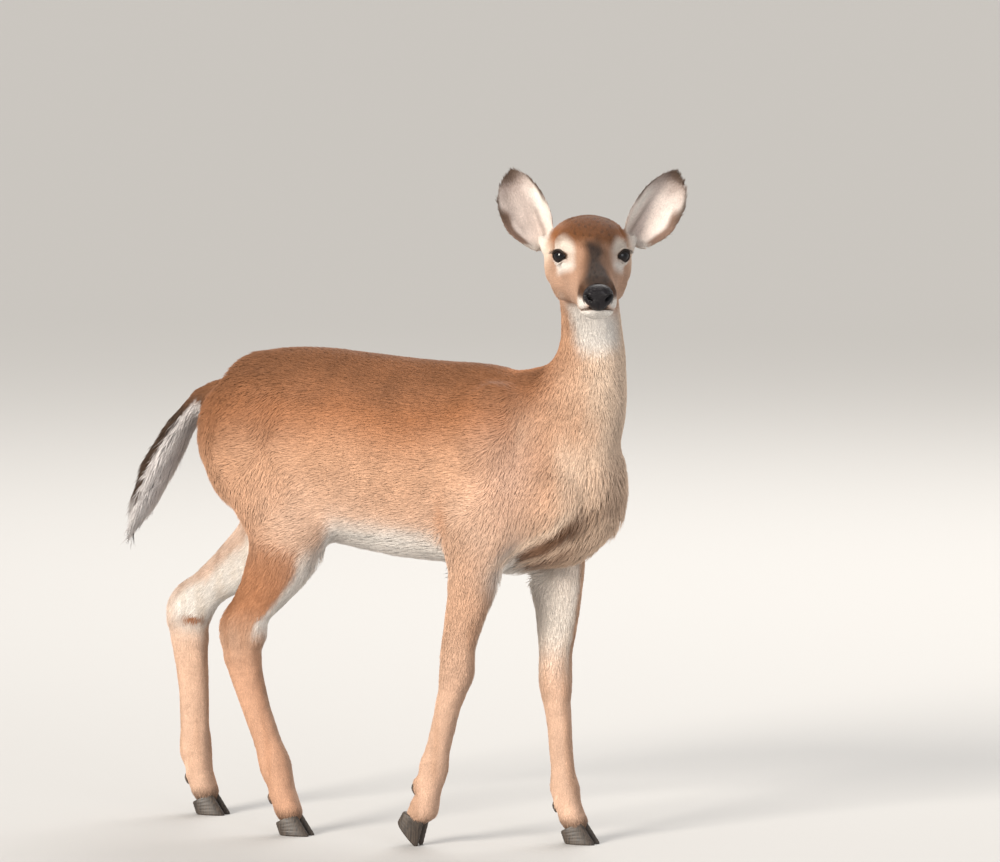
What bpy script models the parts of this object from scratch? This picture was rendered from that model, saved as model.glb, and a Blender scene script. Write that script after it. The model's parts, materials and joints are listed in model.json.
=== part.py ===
"""White-tailed deer doe, life size, standing alert in mid-step with her head turned to her right.

The animal is modelled whole, as lofted and rounded masses fused into one closed skin out to the tips of
the coat, and then parted with thin cuts into its named pieces. Metres, +X forward, +Y to her left, +Z up,
origin on the floor under the middle of her bounding box.
"""

import math

import bmesh
import bpy
import numpy as np
from mathutils import Matrix, Vector

# Driving dimensions
CHEST_FRONT = 0.415  # x of the front of the breast, before its rounding
RUMP_BACK = -0.372  # x of the back of the rump, before its rounding
HEAD_AT = Vector((0.458, -0.142, 1.066))  # midway between the eyes
HEAD_TURN = -58.0  # degrees, from straight ahead towards her right
HEAD_PITCH = -4.0
EYE_RADIUS = 0.0168
EYE_SIDE = 0.0490  # from the head's middle plane to an eye's centre
EAR_LENGTH = 0.150
EAR_OUTER = 0.052  # widest reach of an ear to the outer side of its axis
EAR_INNER = 0.035  # and to the inner side
EAR_THICK = 0.0045
HOOF_LENGTH = 0.058
HOOF_HEIGHT = 0.036
HOOF_WIDTH = 0.0215
HOOF_RAKE = 0.019  # how far the top of a hoof lies behind its sole
HOOF_TAPER = 0.36  # how much shorter its top is than its sole
GAP = 0.0003  # between touching pieces
BODY_VOXEL = 0.0055
BODY_TRIANGLES = 3300
HEAD_VOXEL = 0.0032
HEAD_TRIANGLES = 1350
HEAD_MARGIN = 0.03  # spare material around the head until it is thinned

COLOURS = {
    "coat": (0.42, 0.24, 0.13),
    "legs": (0.52, 0.33, 0.20),
    "throat": (0.55, 0.40, 0.27),
    "ear": (0.60, 0.52, 0.46),
    "tail": (0.30, 0.22, 0.17),
    "nose": (0.012, 0.011, 0.012),
    "eye": (0.010, 0.006, 0.004),
    "hoof": (0.030, 0.025, 0.022),
}
ROUGHNESS = {"nose": 0.30, "eye": 0.05, "hoof": 0.45}


# Materials and mesh helpers


def material(name):
    """The Principled material of one kind of surface, made once."""
    found = bpy.data.materials.get(name)
    if found:
        return found
    made = bpy.data.materials.new(name)
    made.use_nodes = True
    shader = made.node_tree.nodes["Principled BSDF"]
    shader.inputs["Base Color"].default_value = (*COLOURS[name], 1.0)
    shader.inputs["Roughness"].default_value = ROUGHNESS.get(name, 0.85)
    return made


def finish(name, shape, kind=None):
    """A linked object from a bmesh, which is used up."""
    mesh = bpy.data.meshes.new(name)
    shape.to_mesh(mesh)
    shape.free()
    made = bpy.data.objects.new(name, mesh)
    bpy.context.scene.collection.objects.link(made)
    if kind:
        paint(made, kind)
    return made


def paint(made, kind):
    """Gives the whole object one material."""
    made.data.materials.clear()
    made.data.materials.append(material(kind))


def surface(name, points, faces, kind=None):
    """An object from points and faces, cut into triangles that all face outward."""
    mesh = bpy.data.meshes.new(name)
    mesh.from_pydata([tuple(p) for p in points], [], [tuple(f) for f in faces])
    shape = bmesh.new()
    shape.from_mesh(mesh)
    bmesh.ops.triangulate(shape, faces=shape.faces)
    bmesh.ops.recalc_face_normals(shape, faces=shape.faces)
    bpy.data.meshes.remove(mesh)
    return finish(name, shape, kind)


def helper(made):
    """Marks an object as a cutter, which is no piece of the animal."""
    made.hide_render = True
    made.display_type = "WIRE"
    return made


def baked(made):
    """Replaces the object's mesh by what its modifiers make of it."""
    graph = bpy.context.evaluated_depsgraph_get()
    mesh = bpy.data.meshes.new_from_object(made.evaluated_get(graph))
    made.modifiers.clear()
    made.data = mesh
    return made


def boolean(made, other, operation):
    """Cuts or joins with the EXACT solver and keeps the result."""
    step = made.modifiers.new("boolean", "BOOLEAN")
    step.operation = operation
    step.solver = "EXACT"
    step.object = other
    return baked(made)


def joined(name, objects):
    """One object that holds the meshes of all, which may overlap."""
    shape = bmesh.new()
    for part in objects:
        shape.from_mesh(part.data)
        bpy.data.objects.remove(part)
    return finish(name, shape)


def grown(made, by):
    """A hidden copy of an object whose faces have all moved out by a small distance."""
    copy = made.copy()
    copy.data = made.data.copy()
    bpy.context.scene.collection.objects.link(copy)
    shape = bmesh.new()
    shape.from_mesh(copy.data)
    shape.normal_update()
    moved = [(v, v.normal * by * min(v.calc_shell_factor(), 6.0)) for v in shape.verts]
    for vertex, move in moved:
        vertex.co += move
    shape.to_mesh(copy.data)
    shape.free()
    return helper(copy)


# Lofts


def smooth_path(rows, steps):
    """Points of a Catmull-Rom curve through the rows, which may have any number of columns."""
    rows = np.array(rows, float)
    padded = np.vstack([2 * rows[0] - rows[1], rows, 2 * rows[-1] - rows[-2]])
    t = np.linspace(0, 1, steps, endpoint=False)[:, None]
    out = []
    for a, b, c, d in zip(padded, padded[1:], padded[2:], padded[3:]):
        cubic = -a + 3 * b - 3 * c + d
        square = 2 * a - 5 * b + 4 * c - d
        out.append(0.5 * (2 * b + (c - a) * t + square * t**2 + cubic * t**3))
    out.append(rows[-1:])
    return np.vstack(out)


def rounded_end(row, point, way, reach):
    """The shrinking rings that close a loft over a quarter ellipse of the given reach, down to a pole."""
    rings = []
    for angle in np.linspace(0, math.pi / 2, 5)[1:]:
        scale = math.cos(angle) if angle < 1.5 else 0.0
        rings.append((row, point + way * reach * math.sin(angle), way, scale))
    return rings


def loft(name, rows, ends=(0.5, 0.5), sides=28, steps=6):
    """A closed, round-ended body around a path.

    Each row is x, y, z, over, under, side, turn, egg, power: the centre of a ring, its half sizes along the
    path's normal (over and under) and to the side, the turn in degrees of its sideways axis about Z, how
    much its upper part narrows, and the power of its superellipse. The normal is the path's direction
    crossed with the sideways axis: up on a path that runs forward, forward on one that runs down. Ends are
    the lengths of the two rounded ends, as parts of each end ring's mean half size.
    """
    rows = smooth_path(rows, steps)
    path = rows[:, :3]
    along = np.gradient(path, axis=0)
    along /= np.linalg.norm(along, axis=1, keepdims=True)
    body = [(row, point, way, 1.0) for row, point, way in zip(rows, path, along)]
    first = rounded_end(rows[0], path[0], along[0], -rows[0, 3:6].mean() * ends[0])
    last = rounded_end(rows[-1], path[-1], along[-1], rows[-1, 3:6].mean() * ends[1])
    angle = np.linspace(0, 2 * math.pi, sides, endpoint=False)
    points = []
    for row, centre, way, scale in first[::-1] + body + last:
        turn = math.radians(row[6])
        sideways = np.array([-math.sin(turn), math.cos(turn), 0.0])
        sideways -= way * sideways.dot(way)
        sideways /= np.linalg.norm(sideways)
        normal = np.cross(way, sideways)
        power = 2.0 / row[8]
        rise = np.sign(np.sin(angle)) * np.abs(np.sin(angle)) ** power
        width = np.sign(np.cos(angle)) * np.abs(np.cos(angle)) ** power * (1 - row[7] * rise)
        rise = rise * np.where(rise > 0, row[3], row[4])
        ring = centre + scale * (np.outer(width * row[5], sideways) + np.outer(rise, normal))
        points.append(ring[:1] if scale == 0.0 else ring)
    faces = []
    start = 0
    for low, high in zip(points, points[1:]):
        near = start + np.arange(len(low))
        far = start + len(low) + np.arange(len(high))
        for i in range(sides):
            j = (i + 1) % sides
            corners = [near[i % len(low)], near[j % len(low)], far[j % len(high)], far[i % len(high)]]
            faces.append(list(dict.fromkeys(corners)))
        start += len(low)
    return surface(name, np.vstack(points), faces)


def turned(turn):
    """The rotation by degrees about X, then Y, then Z."""
    about_x, about_y, about_z = (Matrix.Rotation(math.radians(a), 4, axis) for a, axis in zip(turn, "XYZ"))
    return about_z @ about_y @ about_x


def lump(name, centre, half, turn=(0.0, 0.0, 0.0), fineness=4, kind=None):
    """An ellipsoid: centre, half sizes, turns in degrees about X, Y and Z, and times subdivided."""
    shape = bmesh.new()
    bmesh.ops.create_icosphere(shape, subdivisions=fineness, radius=1.0)
    place = Matrix.Translation(centre) @ turned(turn) @ Matrix.Diagonal((*half, 1.0))
    bmesh.ops.transform(shape, matrix=place, verts=shape.verts)
    return finish(name, shape, kind)


def level_row(x, top, bottom, side, egg=0.0, power=2.0):
    """A loft row of a body that runs forward, from its top and bottom heights."""
    return (x, 0.0, (top + bottom) / 2, (top - bottom) / 2, (top - bottom) / 2, side, 0.0, egg, power)


def limb_row(x, y, z, fore, aft, side, power=2.0):
    """A loft row of a leg, which runs down."""
    return (x, y, z, fore, aft, side, 0.0, 0.0, power)


# Trunk and neck


def trunk_masses():
    """The barrel of the body, with shoulder blades, upper arms, haunches and thighs on both sides."""
    rows = [
        level_row(RUMP_BACK, 0.820, 0.640, 0.078),
        level_row(-0.330, 0.862, 0.590, 0.100),
        level_row(-0.260, 0.879, 0.566, 0.113, 0.05),
        level_row(-0.170, 0.884, 0.546, 0.120, 0.08),
        level_row(-0.080, 0.877, 0.525, 0.131, 0.10),
        level_row(0.020, 0.869, 0.508, 0.135, 0.12),
        level_row(0.120, 0.861, 0.501, 0.126, 0.14),
        level_row(0.210, 0.853, 0.488, 0.112, 0.12),
        level_row(0.290, 0.840, 0.490, 0.098, 0.05),
        level_row(0.355, 0.800, 0.505, 0.092),
        level_row(CHEST_FRONT, 0.750, 0.555, 0.064),
    ]
    masses = [loft("barrel", rows, ends=(0.35, 0.40), sides=36)]
    for side in (-1, 1):
        lean = 0.030 * side
        masses.append(lump("blade", (0.235 + lean, side * 0.076, 0.708), (0.085, 0.044, 0.140), (0, 24, 0)))
        masses.append(lump("shoulder_point", (0.335, side * 0.062, 0.640), (0.075, 0.052, 0.085)))
        masses.append(lump("arm", (0.240 + lean, side * 0.085, 0.600), (0.090, 0.043, 0.072), (0, -30, 0)))
        masses.append(lump("haunch", (-0.235, side * 0.070, 0.715), (0.125, 0.058, 0.130)))
        masses.append(lump("buttock", (-0.295, side * 0.062, 0.690), (0.076, 0.054, 0.110), (0, -8, 0)))
    masses.append(lump("udder", (-0.165, 0.0, 0.560), (0.060, 0.060, 0.040)))
    return masses


def neck_mass():
    """The neck, which rises from between the shoulders and turns to her right as it nears the head."""
    rows = [
        (0.225, 0.000, 0.670, 0.150, 0.160, 0.086, 0, 0, 2.0),
        (0.295, 0.000, 0.745, 0.122, 0.152, 0.082, -2, 0, 2.0),
        (0.356, -0.002, 0.820, 0.092, 0.116, 0.068, -8, 0, 2.0),
        (0.390, -0.012, 0.885, 0.071, 0.078, 0.056, -20, 0, 2.0),
        (0.402, -0.034, 0.950, 0.060, 0.064, 0.052, -35, 0, 2.0),
        (0.410, -0.062, 1.010, 0.056, 0.058, 0.052, -48, 0, 2.0),
        (0.420, -0.088, 1.062, 0.046, 0.046, 0.048, HEAD_TURN, 0, 2.0),
    ]
    return loft("neck_mass", rows, ends=(0.4, 0.5), sides=30)


# Legs


def far_fore():
    """Her left foreleg, straight under the chest."""
    rows = [
        limb_row(0.300, 0.070, 0.640, 0.075, 0.075, 0.046),
        limb_row(0.268, 0.080, 0.550, 0.074, 0.068, 0.044),
        limb_row(0.272, 0.082, 0.485, 0.058, 0.052, 0.038),
        limb_row(0.277, 0.081, 0.415, 0.043, 0.043, 0.030),
        limb_row(0.276, 0.080, 0.345, 0.031, 0.034, 0.025),
        limb_row(0.274, 0.079, 0.285, 0.032, 0.031, 0.0255),
        limb_row(0.281, 0.078, 0.240, 0.023, 0.025, 0.0200),
        limb_row(0.286, 0.077, 0.190, 0.020, 0.0215, 0.0175),
        limb_row(0.291, 0.077, 0.130, 0.021, 0.0225, 0.0180),
        limb_row(0.296, 0.077, 0.096, 0.025, 0.0275, 0.0225),
        limb_row(0.305, 0.077, 0.068, 0.020, 0.0200, 0.0205),
        limb_row(0.315, 0.077, 0.036, 0.021, 0.0190, 0.0225),
    ]
    return loft("leg", rows, ends=(0.3, 0.25), sides=22)


def near_fore():
    """Her right foreleg, trailing, with the heel raised and the tip of the hoof on the floor."""
    rows = [
        limb_row(0.250, -0.070, 0.660, 0.080, 0.080, 0.046),
        limb_row(0.196, -0.083, 0.560, 0.078, 0.062, 0.046),
        limb_row(0.194, -0.086, 0.495, 0.058, 0.046, 0.039),
        limb_row(0.180, -0.085, 0.425, 0.040, 0.038, 0.030),
        limb_row(0.166, -0.084, 0.365, 0.033, 0.034, 0.025),
        limb_row(0.160, -0.083, 0.315, 0.034, 0.032, 0.0255),
        limb_row(0.148, -0.082, 0.270, 0.023, 0.025, 0.0200),
        limb_row(0.135, -0.081, 0.222, 0.020, 0.0215, 0.0175),
        limb_row(0.121, -0.080, 0.172, 0.021, 0.0225, 0.0180),
        limb_row(0.113, -0.080, 0.142, 0.025, 0.0270, 0.0225),
        limb_row(0.105, -0.080, 0.104, 0.020, 0.0200, 0.0205),
        limb_row(0.095, -0.080, 0.058, 0.021, 0.0200, 0.0225),
    ]
    return loft("leg", rows, ends=(0.3, 0.25), sides=22)


def near_hind():
    """Her right hind leg, brought forward under the flank."""
    rows = [
        limb_row(-0.245, -0.062, 0.740, 0.110, 0.100, 0.050),
        limb_row(-0.205, -0.076, 0.650, 0.122, 0.108, 0.060),
        limb_row(-0.180, -0.084, 0.575, 0.094, 0.100, 0.055),
        limb_row(-0.188, -0.086, 0.515, 0.068, 0.082, 0.045),
        limb_row(-0.225, -0.084, 0.455, 0.050, 0.058, 0.034),
        limb_row(-0.262, -0.080, 0.408, 0.038, 0.042, 0.026),
        limb_row(-0.282, -0.077, 0.366, 0.043, 0.048, 0.0265),
        limb_row(-0.284, -0.075, 0.318, 0.031, 0.034, 0.0230),
        limb_row(-0.262, -0.074, 0.240, 0.024, 0.026, 0.0190),
        limb_row(-0.234, -0.074, 0.168, 0.022, 0.024, 0.0185),
        limb_row(-0.217, -0.074, 0.124, 0.026, 0.029, 0.0230),
        limb_row(-0.203, -0.074, 0.082, 0.020, 0.021, 0.0205),
        limb_row(-0.188, -0.074, 0.036, 0.021, 0.019, 0.0225),
    ]
    return loft("leg", rows, ends=(0.3, 0.25), sides=22)


def far_hind():
    """Her left hind leg, stretched out behind."""
    rows = [
        limb_row(-0.260, 0.062, 0.740, 0.110, 0.100, 0.050),
        limb_row(-0.262, 0.076, 0.650, 0.108, 0.108, 0.060),
        limb_row(-0.282, 0.084, 0.580, 0.088, 0.088, 0.055),
        limb_row(-0.325, 0.086, 0.520, 0.066, 0.066, 0.045),
        limb_row(-0.388, 0.084, 0.468, 0.050, 0.050, 0.034),
        limb_row(-0.448, 0.081, 0.424, 0.038, 0.038, 0.026),
        limb_row(-0.490, 0.079, 0.378, 0.042, 0.046, 0.0265),
        limb_row(-0.489, 0.078, 0.322, 0.032, 0.034, 0.0230),
        limb_row(-0.481, 0.077, 0.240, 0.026, 0.028, 0.0190),
        limb_row(-0.478, 0.077, 0.165, 0.024, 0.027, 0.0185),
        limb_row(-0.476, 0.077, 0.118, 0.027, 0.030, 0.0230),
        limb_row(-0.467, 0.077, 0.078, 0.020, 0.021, 0.0205),
        limb_row(-0.455, 0.077, 0.036, 0.021, 0.019, 0.0225),
    ]
    return loft("leg", rows, ends=(0.3, 0.25), sides=22)


LEGS = {
    "fore_left": (far_fore, (0.332, 0.077, 0.0), 0.0),
    "fore_right": (near_fore, (0.054, -0.080, 0.0), 52.0),
    "hind_left": (far_hind, (-0.438, 0.077, 0.0), 0.0),
    "hind_right": (near_hind, (-0.171, -0.074, 0.0), 0.0),
}


# Head


def head_place():
    """The head's frame: x towards the nose, y to her left, z up, origin midway between the eyes."""
    turn = Matrix.Rotation(math.radians(HEAD_TURN), 4, "Z")
    pitch = Matrix.Rotation(math.radians(-HEAD_PITCH), 4, "Y")
    return Matrix.Translation(HEAD_AT) @ turn @ pitch


def head_masses():
    """Skull, muzzle, brows, cheeks and chin, in the head's frame and then placed."""
    rows = [
        level_row(-0.090, 0.045, -0.052, 0.052),
        level_row(-0.062, 0.061, -0.080, 0.064, 0.00, 2.3),
        level_row(-0.030, 0.063, -0.090, 0.065, 0.02, 2.4),
        level_row(0.000, 0.049, -0.094, 0.057, 0.04, 2.4),
        level_row(0.030, 0.026, -0.094, 0.044, 0.06, 2.3),
        level_row(0.065, 0.004, -0.093, 0.036, 0.06, 2.2),
        level_row(0.100, -0.012, -0.095, 0.0325, 0.02, 2.3),
        level_row(0.124, -0.021, -0.096, 0.0330, 0.0, 2.4),
        level_row(0.140, -0.029, -0.090, 0.0295, 0.0, 2.3),
    ]
    masses = [loft("skull", rows, ends=(0.30, 0.30), sides=32)]
    for side in (-1, 1):
        masses.append(lump("brow", (-0.006, side * 0.047, 0.021), (0.026, 0.014, 0.012), (0, 0, side * -20)))
        masses.append(lump("cheek", (-0.040, side * 0.046, -0.040), (0.040, 0.026, 0.046)))
        root_half = (0.024, 0.019, 0.040)
        masses.append(lump("ear_root", (-0.069, side * 0.063, 0.006), root_half, (side * -24, 0, 0)))
        masses.append(lump("jowl", (-0.058, side * 0.056, -0.024), (0.034, 0.022, 0.040)))
    place = head_place()
    for mass in masses:
        mass.data.transform(place)
    return masses


def ear_reach(t, widest, root, fullness):
    """Half width of an ear at a part t of its length, on one side of its axis."""
    peak = 0.42
    if t < peak:
        return widest * (root + (1 - root) * math.sin(math.pi / 2 * t / peak))
    past = (t - peak) / (1 - peak)
    return max(widest * (1 - past**fullness) ** 0.7, 0.002)


def ear(side):
    """A cupped, pointed leaf that opens forward. Its back is the same leaf, set back by its thickness."""
    tilt = math.radians(32.0 if side > 0 else 22.5)
    lean = 0.16 if side > 0 else 0.48
    length_way = np.array([-lean, side * math.sin(tilt), math.cos(tilt)])
    length_way /= np.linalg.norm(length_way)
    opening = np.array([0.94, side * 0.22, 0.20])
    opening -= length_way * opening.dot(length_way)
    opening /= np.linalg.norm(opening)
    outward = np.cross(opening, length_way) * -side
    root = np.array([-0.064, side * 0.078, 0.014])
    along_steps, across_steps = 10, 7
    points = []
    for back in (0.0, 1.0):
        for t in np.linspace(0.0, 1.0, along_steps):
            outer = ear_reach(t, EAR_OUTER, 0.42, 2.4)
            inner = ear_reach(t, EAR_INNER, 0.55, 1.8)
            cup = 0.032 * (1 - t) ** 0.7 + 0.006
            thick = EAR_THICK * (1 + 1.6 * (1 - t) ** 3)
            for u in np.linspace(-1.0, 1.0, across_steps):
                sink = cup * (1 - u * u) * min(1.0, (outer + inner) / 0.05)
                reach = outer * u if u > 0 else inner * u
                taper = 1.0 - 0.45 * u * u
                spot = root + length_way * EAR_LENGTH * t + outward * reach
                points.append(spot - opening * (sink + thick * taper * back))
    faces = []
    sheet = along_steps * across_steps
    for i in range(along_steps - 1):
        for j in range(across_steps - 1):
            a = i * across_steps + j
            front = [a, a + 1, a + 1 + across_steps, a + across_steps]
            faces.append(front)
            faces.append([v + sheet for v in reversed(front)])
    last = across_steps - 1
    rim = list(range(across_steps))
    rim += [i * across_steps + last for i in range(1, along_steps)]
    rim += [(along_steps - 1) * across_steps + j for j in range(last - 1, -1, -1)]
    rim += [i * across_steps for i in range(along_steps - 2, 0, -1)]
    for a, b in zip(rim, rim[1:] + rim[:1]):
        faces.append([a, b, b + sheet, a + sheet])
    name = "ear_left" if side > 0 else "ear_right"
    made = surface(name, points, faces, "ear")
    made.data.transform(head_place())
    return made


def eye(side):
    """An eyeball."""
    shape = bmesh.new()
    bmesh.ops.create_uvsphere(shape, u_segments=14, v_segments=8, radius=EYE_RADIUS)
    place = head_place() @ Matrix.Translation((0.0, side * EYE_SIDE, 0.0))
    bmesh.ops.transform(shape, matrix=place, verts=shape.verts)
    return finish("eye_left" if side > 0 else "eye_right", shape, "eye")


def nose():
    """The bare pad at the end of the muzzle."""
    made = lump("nose", (0.146, 0.0, -0.056), (0.0165, 0.0265, 0.0235), (0, 14, 0), 2, "nose")
    made.data.transform(head_place())
    return made


# Tail


def tail():
    """The hanging brush of the tail, flat and pointed."""
    rows = [
        (-0.360, 0.000, 0.806, 0.024, 0.022, 0.026, 0, 0, 2.0),
        (-0.412, 0.000, 0.784, 0.026, 0.024, 0.032, 0, 0, 2.0),
        (-0.460, 0.001, 0.730, 0.028, 0.026, 0.040, 0, 0, 2.0),
        (-0.505, 0.002, 0.660, 0.030, 0.026, 0.043, 0, 0, 2.0),
        (-0.540, 0.003, 0.592, 0.024, 0.021, 0.034, 0, 0, 2.0),
        (-0.565, 0.004, 0.540, 0.010, 0.009, 0.014, 0, 0, 2.0),
    ]
    made = loft("tail", rows, ends=(0.4, 1.0), sides=12, steps=1)
    paint(made, "tail")
    return made


# Feet


def hoof(leg, toe):
    """One half of a cloven hoof: a pointed wedge, flat under, straight on its inner side."""
    _, foot, tilt = LEGS[leg]
    levels = 3
    around = 12
    points = []
    for level in range(levels):
        up = level / (levels - 1)
        for k in range(around):
            angle = 2 * math.pi * k / around
            along = math.cos(angle)
            half = HOOF_WIDTH / 2 * abs(math.sin(angle)) ** 0.8 * (1.0 - 0.22 * along)
            bulge = half if math.sin(angle) > 0 else -half
            x = HOOF_LENGTH / 2 * along * (1.0 - HOOF_TAPER * up) - HOOF_RAKE * up
            y = toe * (HOOF_WIDTH / 2 + 0.0008 - 0.0018 * along) + bulge * (1.0 - 0.10 * up)
            z = up * HOOF_HEIGHT * (0.86 + 0.26 * along)
            points.append((x, y, z))
    faces = [list(range(around)), list(range((levels - 1) * around, levels * around))]
    for level in range(levels - 1):
        for k in range(around):
            n = (k + 1) % around
            low = level * around
            faces.append([low + k, low + n, low + around + n, low + around + k])
    side = "outer" if (toe > 0) == (foot[1] > 0) else "inner"
    made = surface(f"hoof_{leg}_{side}", points, faces, "hoof")
    pivot = Matrix.Translation((HOOF_LENGTH / 2, 0.0, 0.0))
    spin = Matrix.Rotation(math.radians(tilt), 4, "Y")
    made.data.transform(Matrix.Translation(foot) @ (pivot @ spin @ pivot.inverted() if tilt else Matrix()))
    if tilt:
        made.data.transform(Matrix.Translation((0.0, 0.0, -0.0035)))
        shape = bmesh.new()
        shape.from_mesh(made.data)
        everything = shape.verts[:] + shape.edges[:] + shape.faces[:]
        cut = bmesh.ops.bisect_plane(
            shape, geom=everything, plane_co=(0, 0, 0), plane_no=(0, 0, 1), clear_inner=True
        )
        edges = [e for e in cut["geom_cut"] if isinstance(e, bmesh.types.BMEdge)]
        bmesh.ops.contextual_create(shape, geom=edges)
        bmesh.ops.recalc_face_normals(shape, faces=shape.faces)
        shape.to_mesh(made.data)
        shape.free()
    return made


def dewclaw(leg, toe):
    """The small high claw behind the pastern."""
    _, foot, tilt = LEGS[leg]
    rise = 0.104 if tilt else 0.066
    back = 0.028 if tilt else -0.048
    centre = (foot[0] + back, foot[1] + toe * 0.0135, rise)
    side = "outer" if (toe > 0) == (foot[1] > 0) else "inner"
    return lump(f"dewclaw_{leg}_{side}", centre, (0.0085, 0.0065, 0.0125), (0, -20, 0), 1, "hoof")


# Parting


def region(rows, sides=14):
    """A closed cutter that holds one leg, as a loft that runs down."""
    return loft("region", [limb_row(*row) for row in rows], ends=(0.8, 0.1), sides=sides, steps=2)


def block(centre, size, tip, place=None):
    """A box cutter: its centre, its sizes, its turn in degrees about Y, and the frame that all this is in."""
    shape = bmesh.new()
    bmesh.ops.create_cube(shape, size=1.0)
    where = Matrix.Translation(centre) @ turned((0.0, tip, 0.0)) @ Matrix.Diagonal((*size, 1.0))
    bmesh.ops.transform(shape, matrix=(place or Matrix()) @ where, verts=shape.verts)
    return finish("region", shape)


def upper_region(leg):
    """The dome-topped space that holds one whole leg, from the elbow or the stifle down."""
    side = 1 if leg.endswith("left") else -1
    if leg.startswith("fore"):
        x = 0.268 if side > 0 else 0.205
        rows = [
            (x, side * 0.128, 0.590, 0.060, 0.060, 0.050),
            (x, side * 0.122, 0.540, 0.105, 0.100, 0.085),
            (x, side * 0.112, 0.470, 0.130, 0.130, 0.098),
            (x - 0.02, side * 0.108, 0.250, 0.160, 0.160, 0.098),
            (x - 0.02, side * 0.108, -0.050, 0.160, 0.160, 0.098),
        ]
    else:
        x = -0.230 if side > 0 else -0.200
        back = 0.10 if side > 0 else 0.0
        rows = [
            (x, side * 0.128, 0.650, 0.070, 0.070, 0.050),
            (x, side * 0.126, 0.590, 0.125, 0.145, 0.085),
            (x - 0.01, side * 0.120, 0.520, 0.160, 0.180 + back, 0.103),
            (x - 0.05, side * 0.120, 0.350, 0.200, 0.200 + back, 0.110),
            (x - 0.05, side * 0.120, -0.050, 0.260, 0.200 + back, 0.110),
        ]
    return region(rows)


def lower_region(leg):
    """The space below one knee or hock."""
    heights = {"fore_left": 0.248, "fore_right": 0.278, "hind_left": 0.330, "hind_right": 0.325}
    x = 0.22 if leg.startswith("fore") else -0.36
    side = 1 if leg.endswith("left") else -1
    top = heights[leg]
    return block((x, side * 0.11, top / 2 - 0.05), (0.50, 0.20, top + 0.10), 0.0)


def main_body(made):
    """Keeps the largest connected body of a mesh and drops the crumbs that a cut leaves."""
    shape = bmesh.new()
    shape.from_mesh(made.data)
    bmesh.ops.dissolve_degenerate(shape, dist=0.00002, edges=shape.edges)
    left = set(shape.verts)
    bodies = []
    while left:
        body = set()
        edge = [left.pop()]
        while edge:
            vertex = edge.pop()
            body.add(vertex)
            near = {link.other_vert(vertex) for link in vertex.link_edges} & left
            left -= near
            edge.extend(near)
        bodies.append(body)
    largest = max(bodies, key=len)
    bmesh.ops.delete(shape, geom=[v for v in shape.verts if v not in largest], context="VERTS")
    shape.to_mesh(made.data)
    shape.free()


def take(rest, cutter, name, kind):
    """Splits off what lies in the cutter as a named piece, and leaves the thin gap around it."""
    piece = rest.copy()
    piece.data = rest.data.copy()
    bpy.context.scene.collection.objects.link(piece)
    boolean(piece, cutter, "INTERSECT")
    wider = grown(cutter, GAP)
    boolean(rest, wider, "DIFFERENCE")
    bpy.data.objects.remove(wider)
    bpy.data.objects.remove(cutter)
    main_body(piece)
    main_body(rest)
    piece.name = name
    paint(piece, kind)
    return piece


def make_room(host, guest):
    """Cuts the guest's shape, wider by the gap, out of the host."""
    wider = grown(guest, GAP)
    boolean(host, wider, "DIFFERENCE")
    bpy.data.objects.remove(wider)
    main_body(host)


def heaviness(spot):
    """How much the surface at a spot is softened: fully on the trunk, not on the legs or the head."""
    low = min(max((spot.z - 0.44) / 0.12, 0.0), 1.0)
    high = min(max((1.02 - spot.z) / 0.12, 0.0), 1.0)
    return low * high


def fused(name, masses, voxel, settling):
    """One closed skin around all the masses, softened where the body is heavy."""
    whole = joined(name, masses)
    fuse = whole.modifiers.new("fuse", "REMESH")
    fuse.mode = "VOXEL"
    fuse.voxel_size = voxel
    baked(whole)
    heavy = whole.vertex_groups.new(name="heavy")
    for vertex in whole.data.vertices:
        heavy.add([vertex.index], heaviness(vertex.co), "REPLACE")
    soften = whole.modifiers.new("soften", "SMOOTH")
    soften.factor = 0.6
    soften.iterations = 45
    soften.vertex_group = "heavy"
    settle = whole.modifiers.new("settle", "SMOOTH")
    settle.factor = 0.5
    settle.iterations = settling
    baked(whole)
    whole.vertex_groups.clear()
    return whole


def thinned(made, triangles):
    """Keeps about the given number of triangles."""
    made.data.calc_loop_triangles()
    thin = made.modifiers.new("thin", "DECIMATE")
    thin.ratio = triangles / len(made.data.loop_triangles)
    return baked(made)


def neck_and_head():
    return [neck_mass()] + head_masses()


def all_masses():
    return trunk_masses() + neck_and_head() + [make() for make, _, _ in LEGS.values()]


def set_on_origin():
    """Moves the whole animal so that the origin is on the floor, under the middle of her box."""
    pieces = [made for made in bpy.data.objects if not made.hide_render]
    points = np.vstack([np.array([v.co for v in made.data.vertices]) for made in pieces])
    low, high = points.min(axis=0), points.max(axis=0)
    move = Matrix.Translation((-(low[0] + high[0]) / 2, -(low[1] + high[1]) / 2, -low[2]))
    for made in pieces:
        made.data.transform(move)


def cut_head(space):
    """The head, shaped more finely than the body, and ended flat where the neck begins."""
    head = fused("head", neck_and_head(), HEAD_VOXEL, 10)
    centre, size, tip = space
    rough = block(centre, tuple(width + HEAD_MARGIN for width in size), tip, head_place())
    boolean(head, rough, "INTERSECT")
    bpy.data.objects.remove(rough)
    thinned(head, HEAD_TRIANGLES)
    exact = block(*space, head_place())
    boolean(head, exact, "INTERSECT")
    bpy.data.objects.remove(exact)
    main_body(head)
    paint(head, "coat")
    for side in (-1, 1):
        make_room(head, ear(side))
        make_room(head, eye(side))
    make_room(head, nose())


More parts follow.
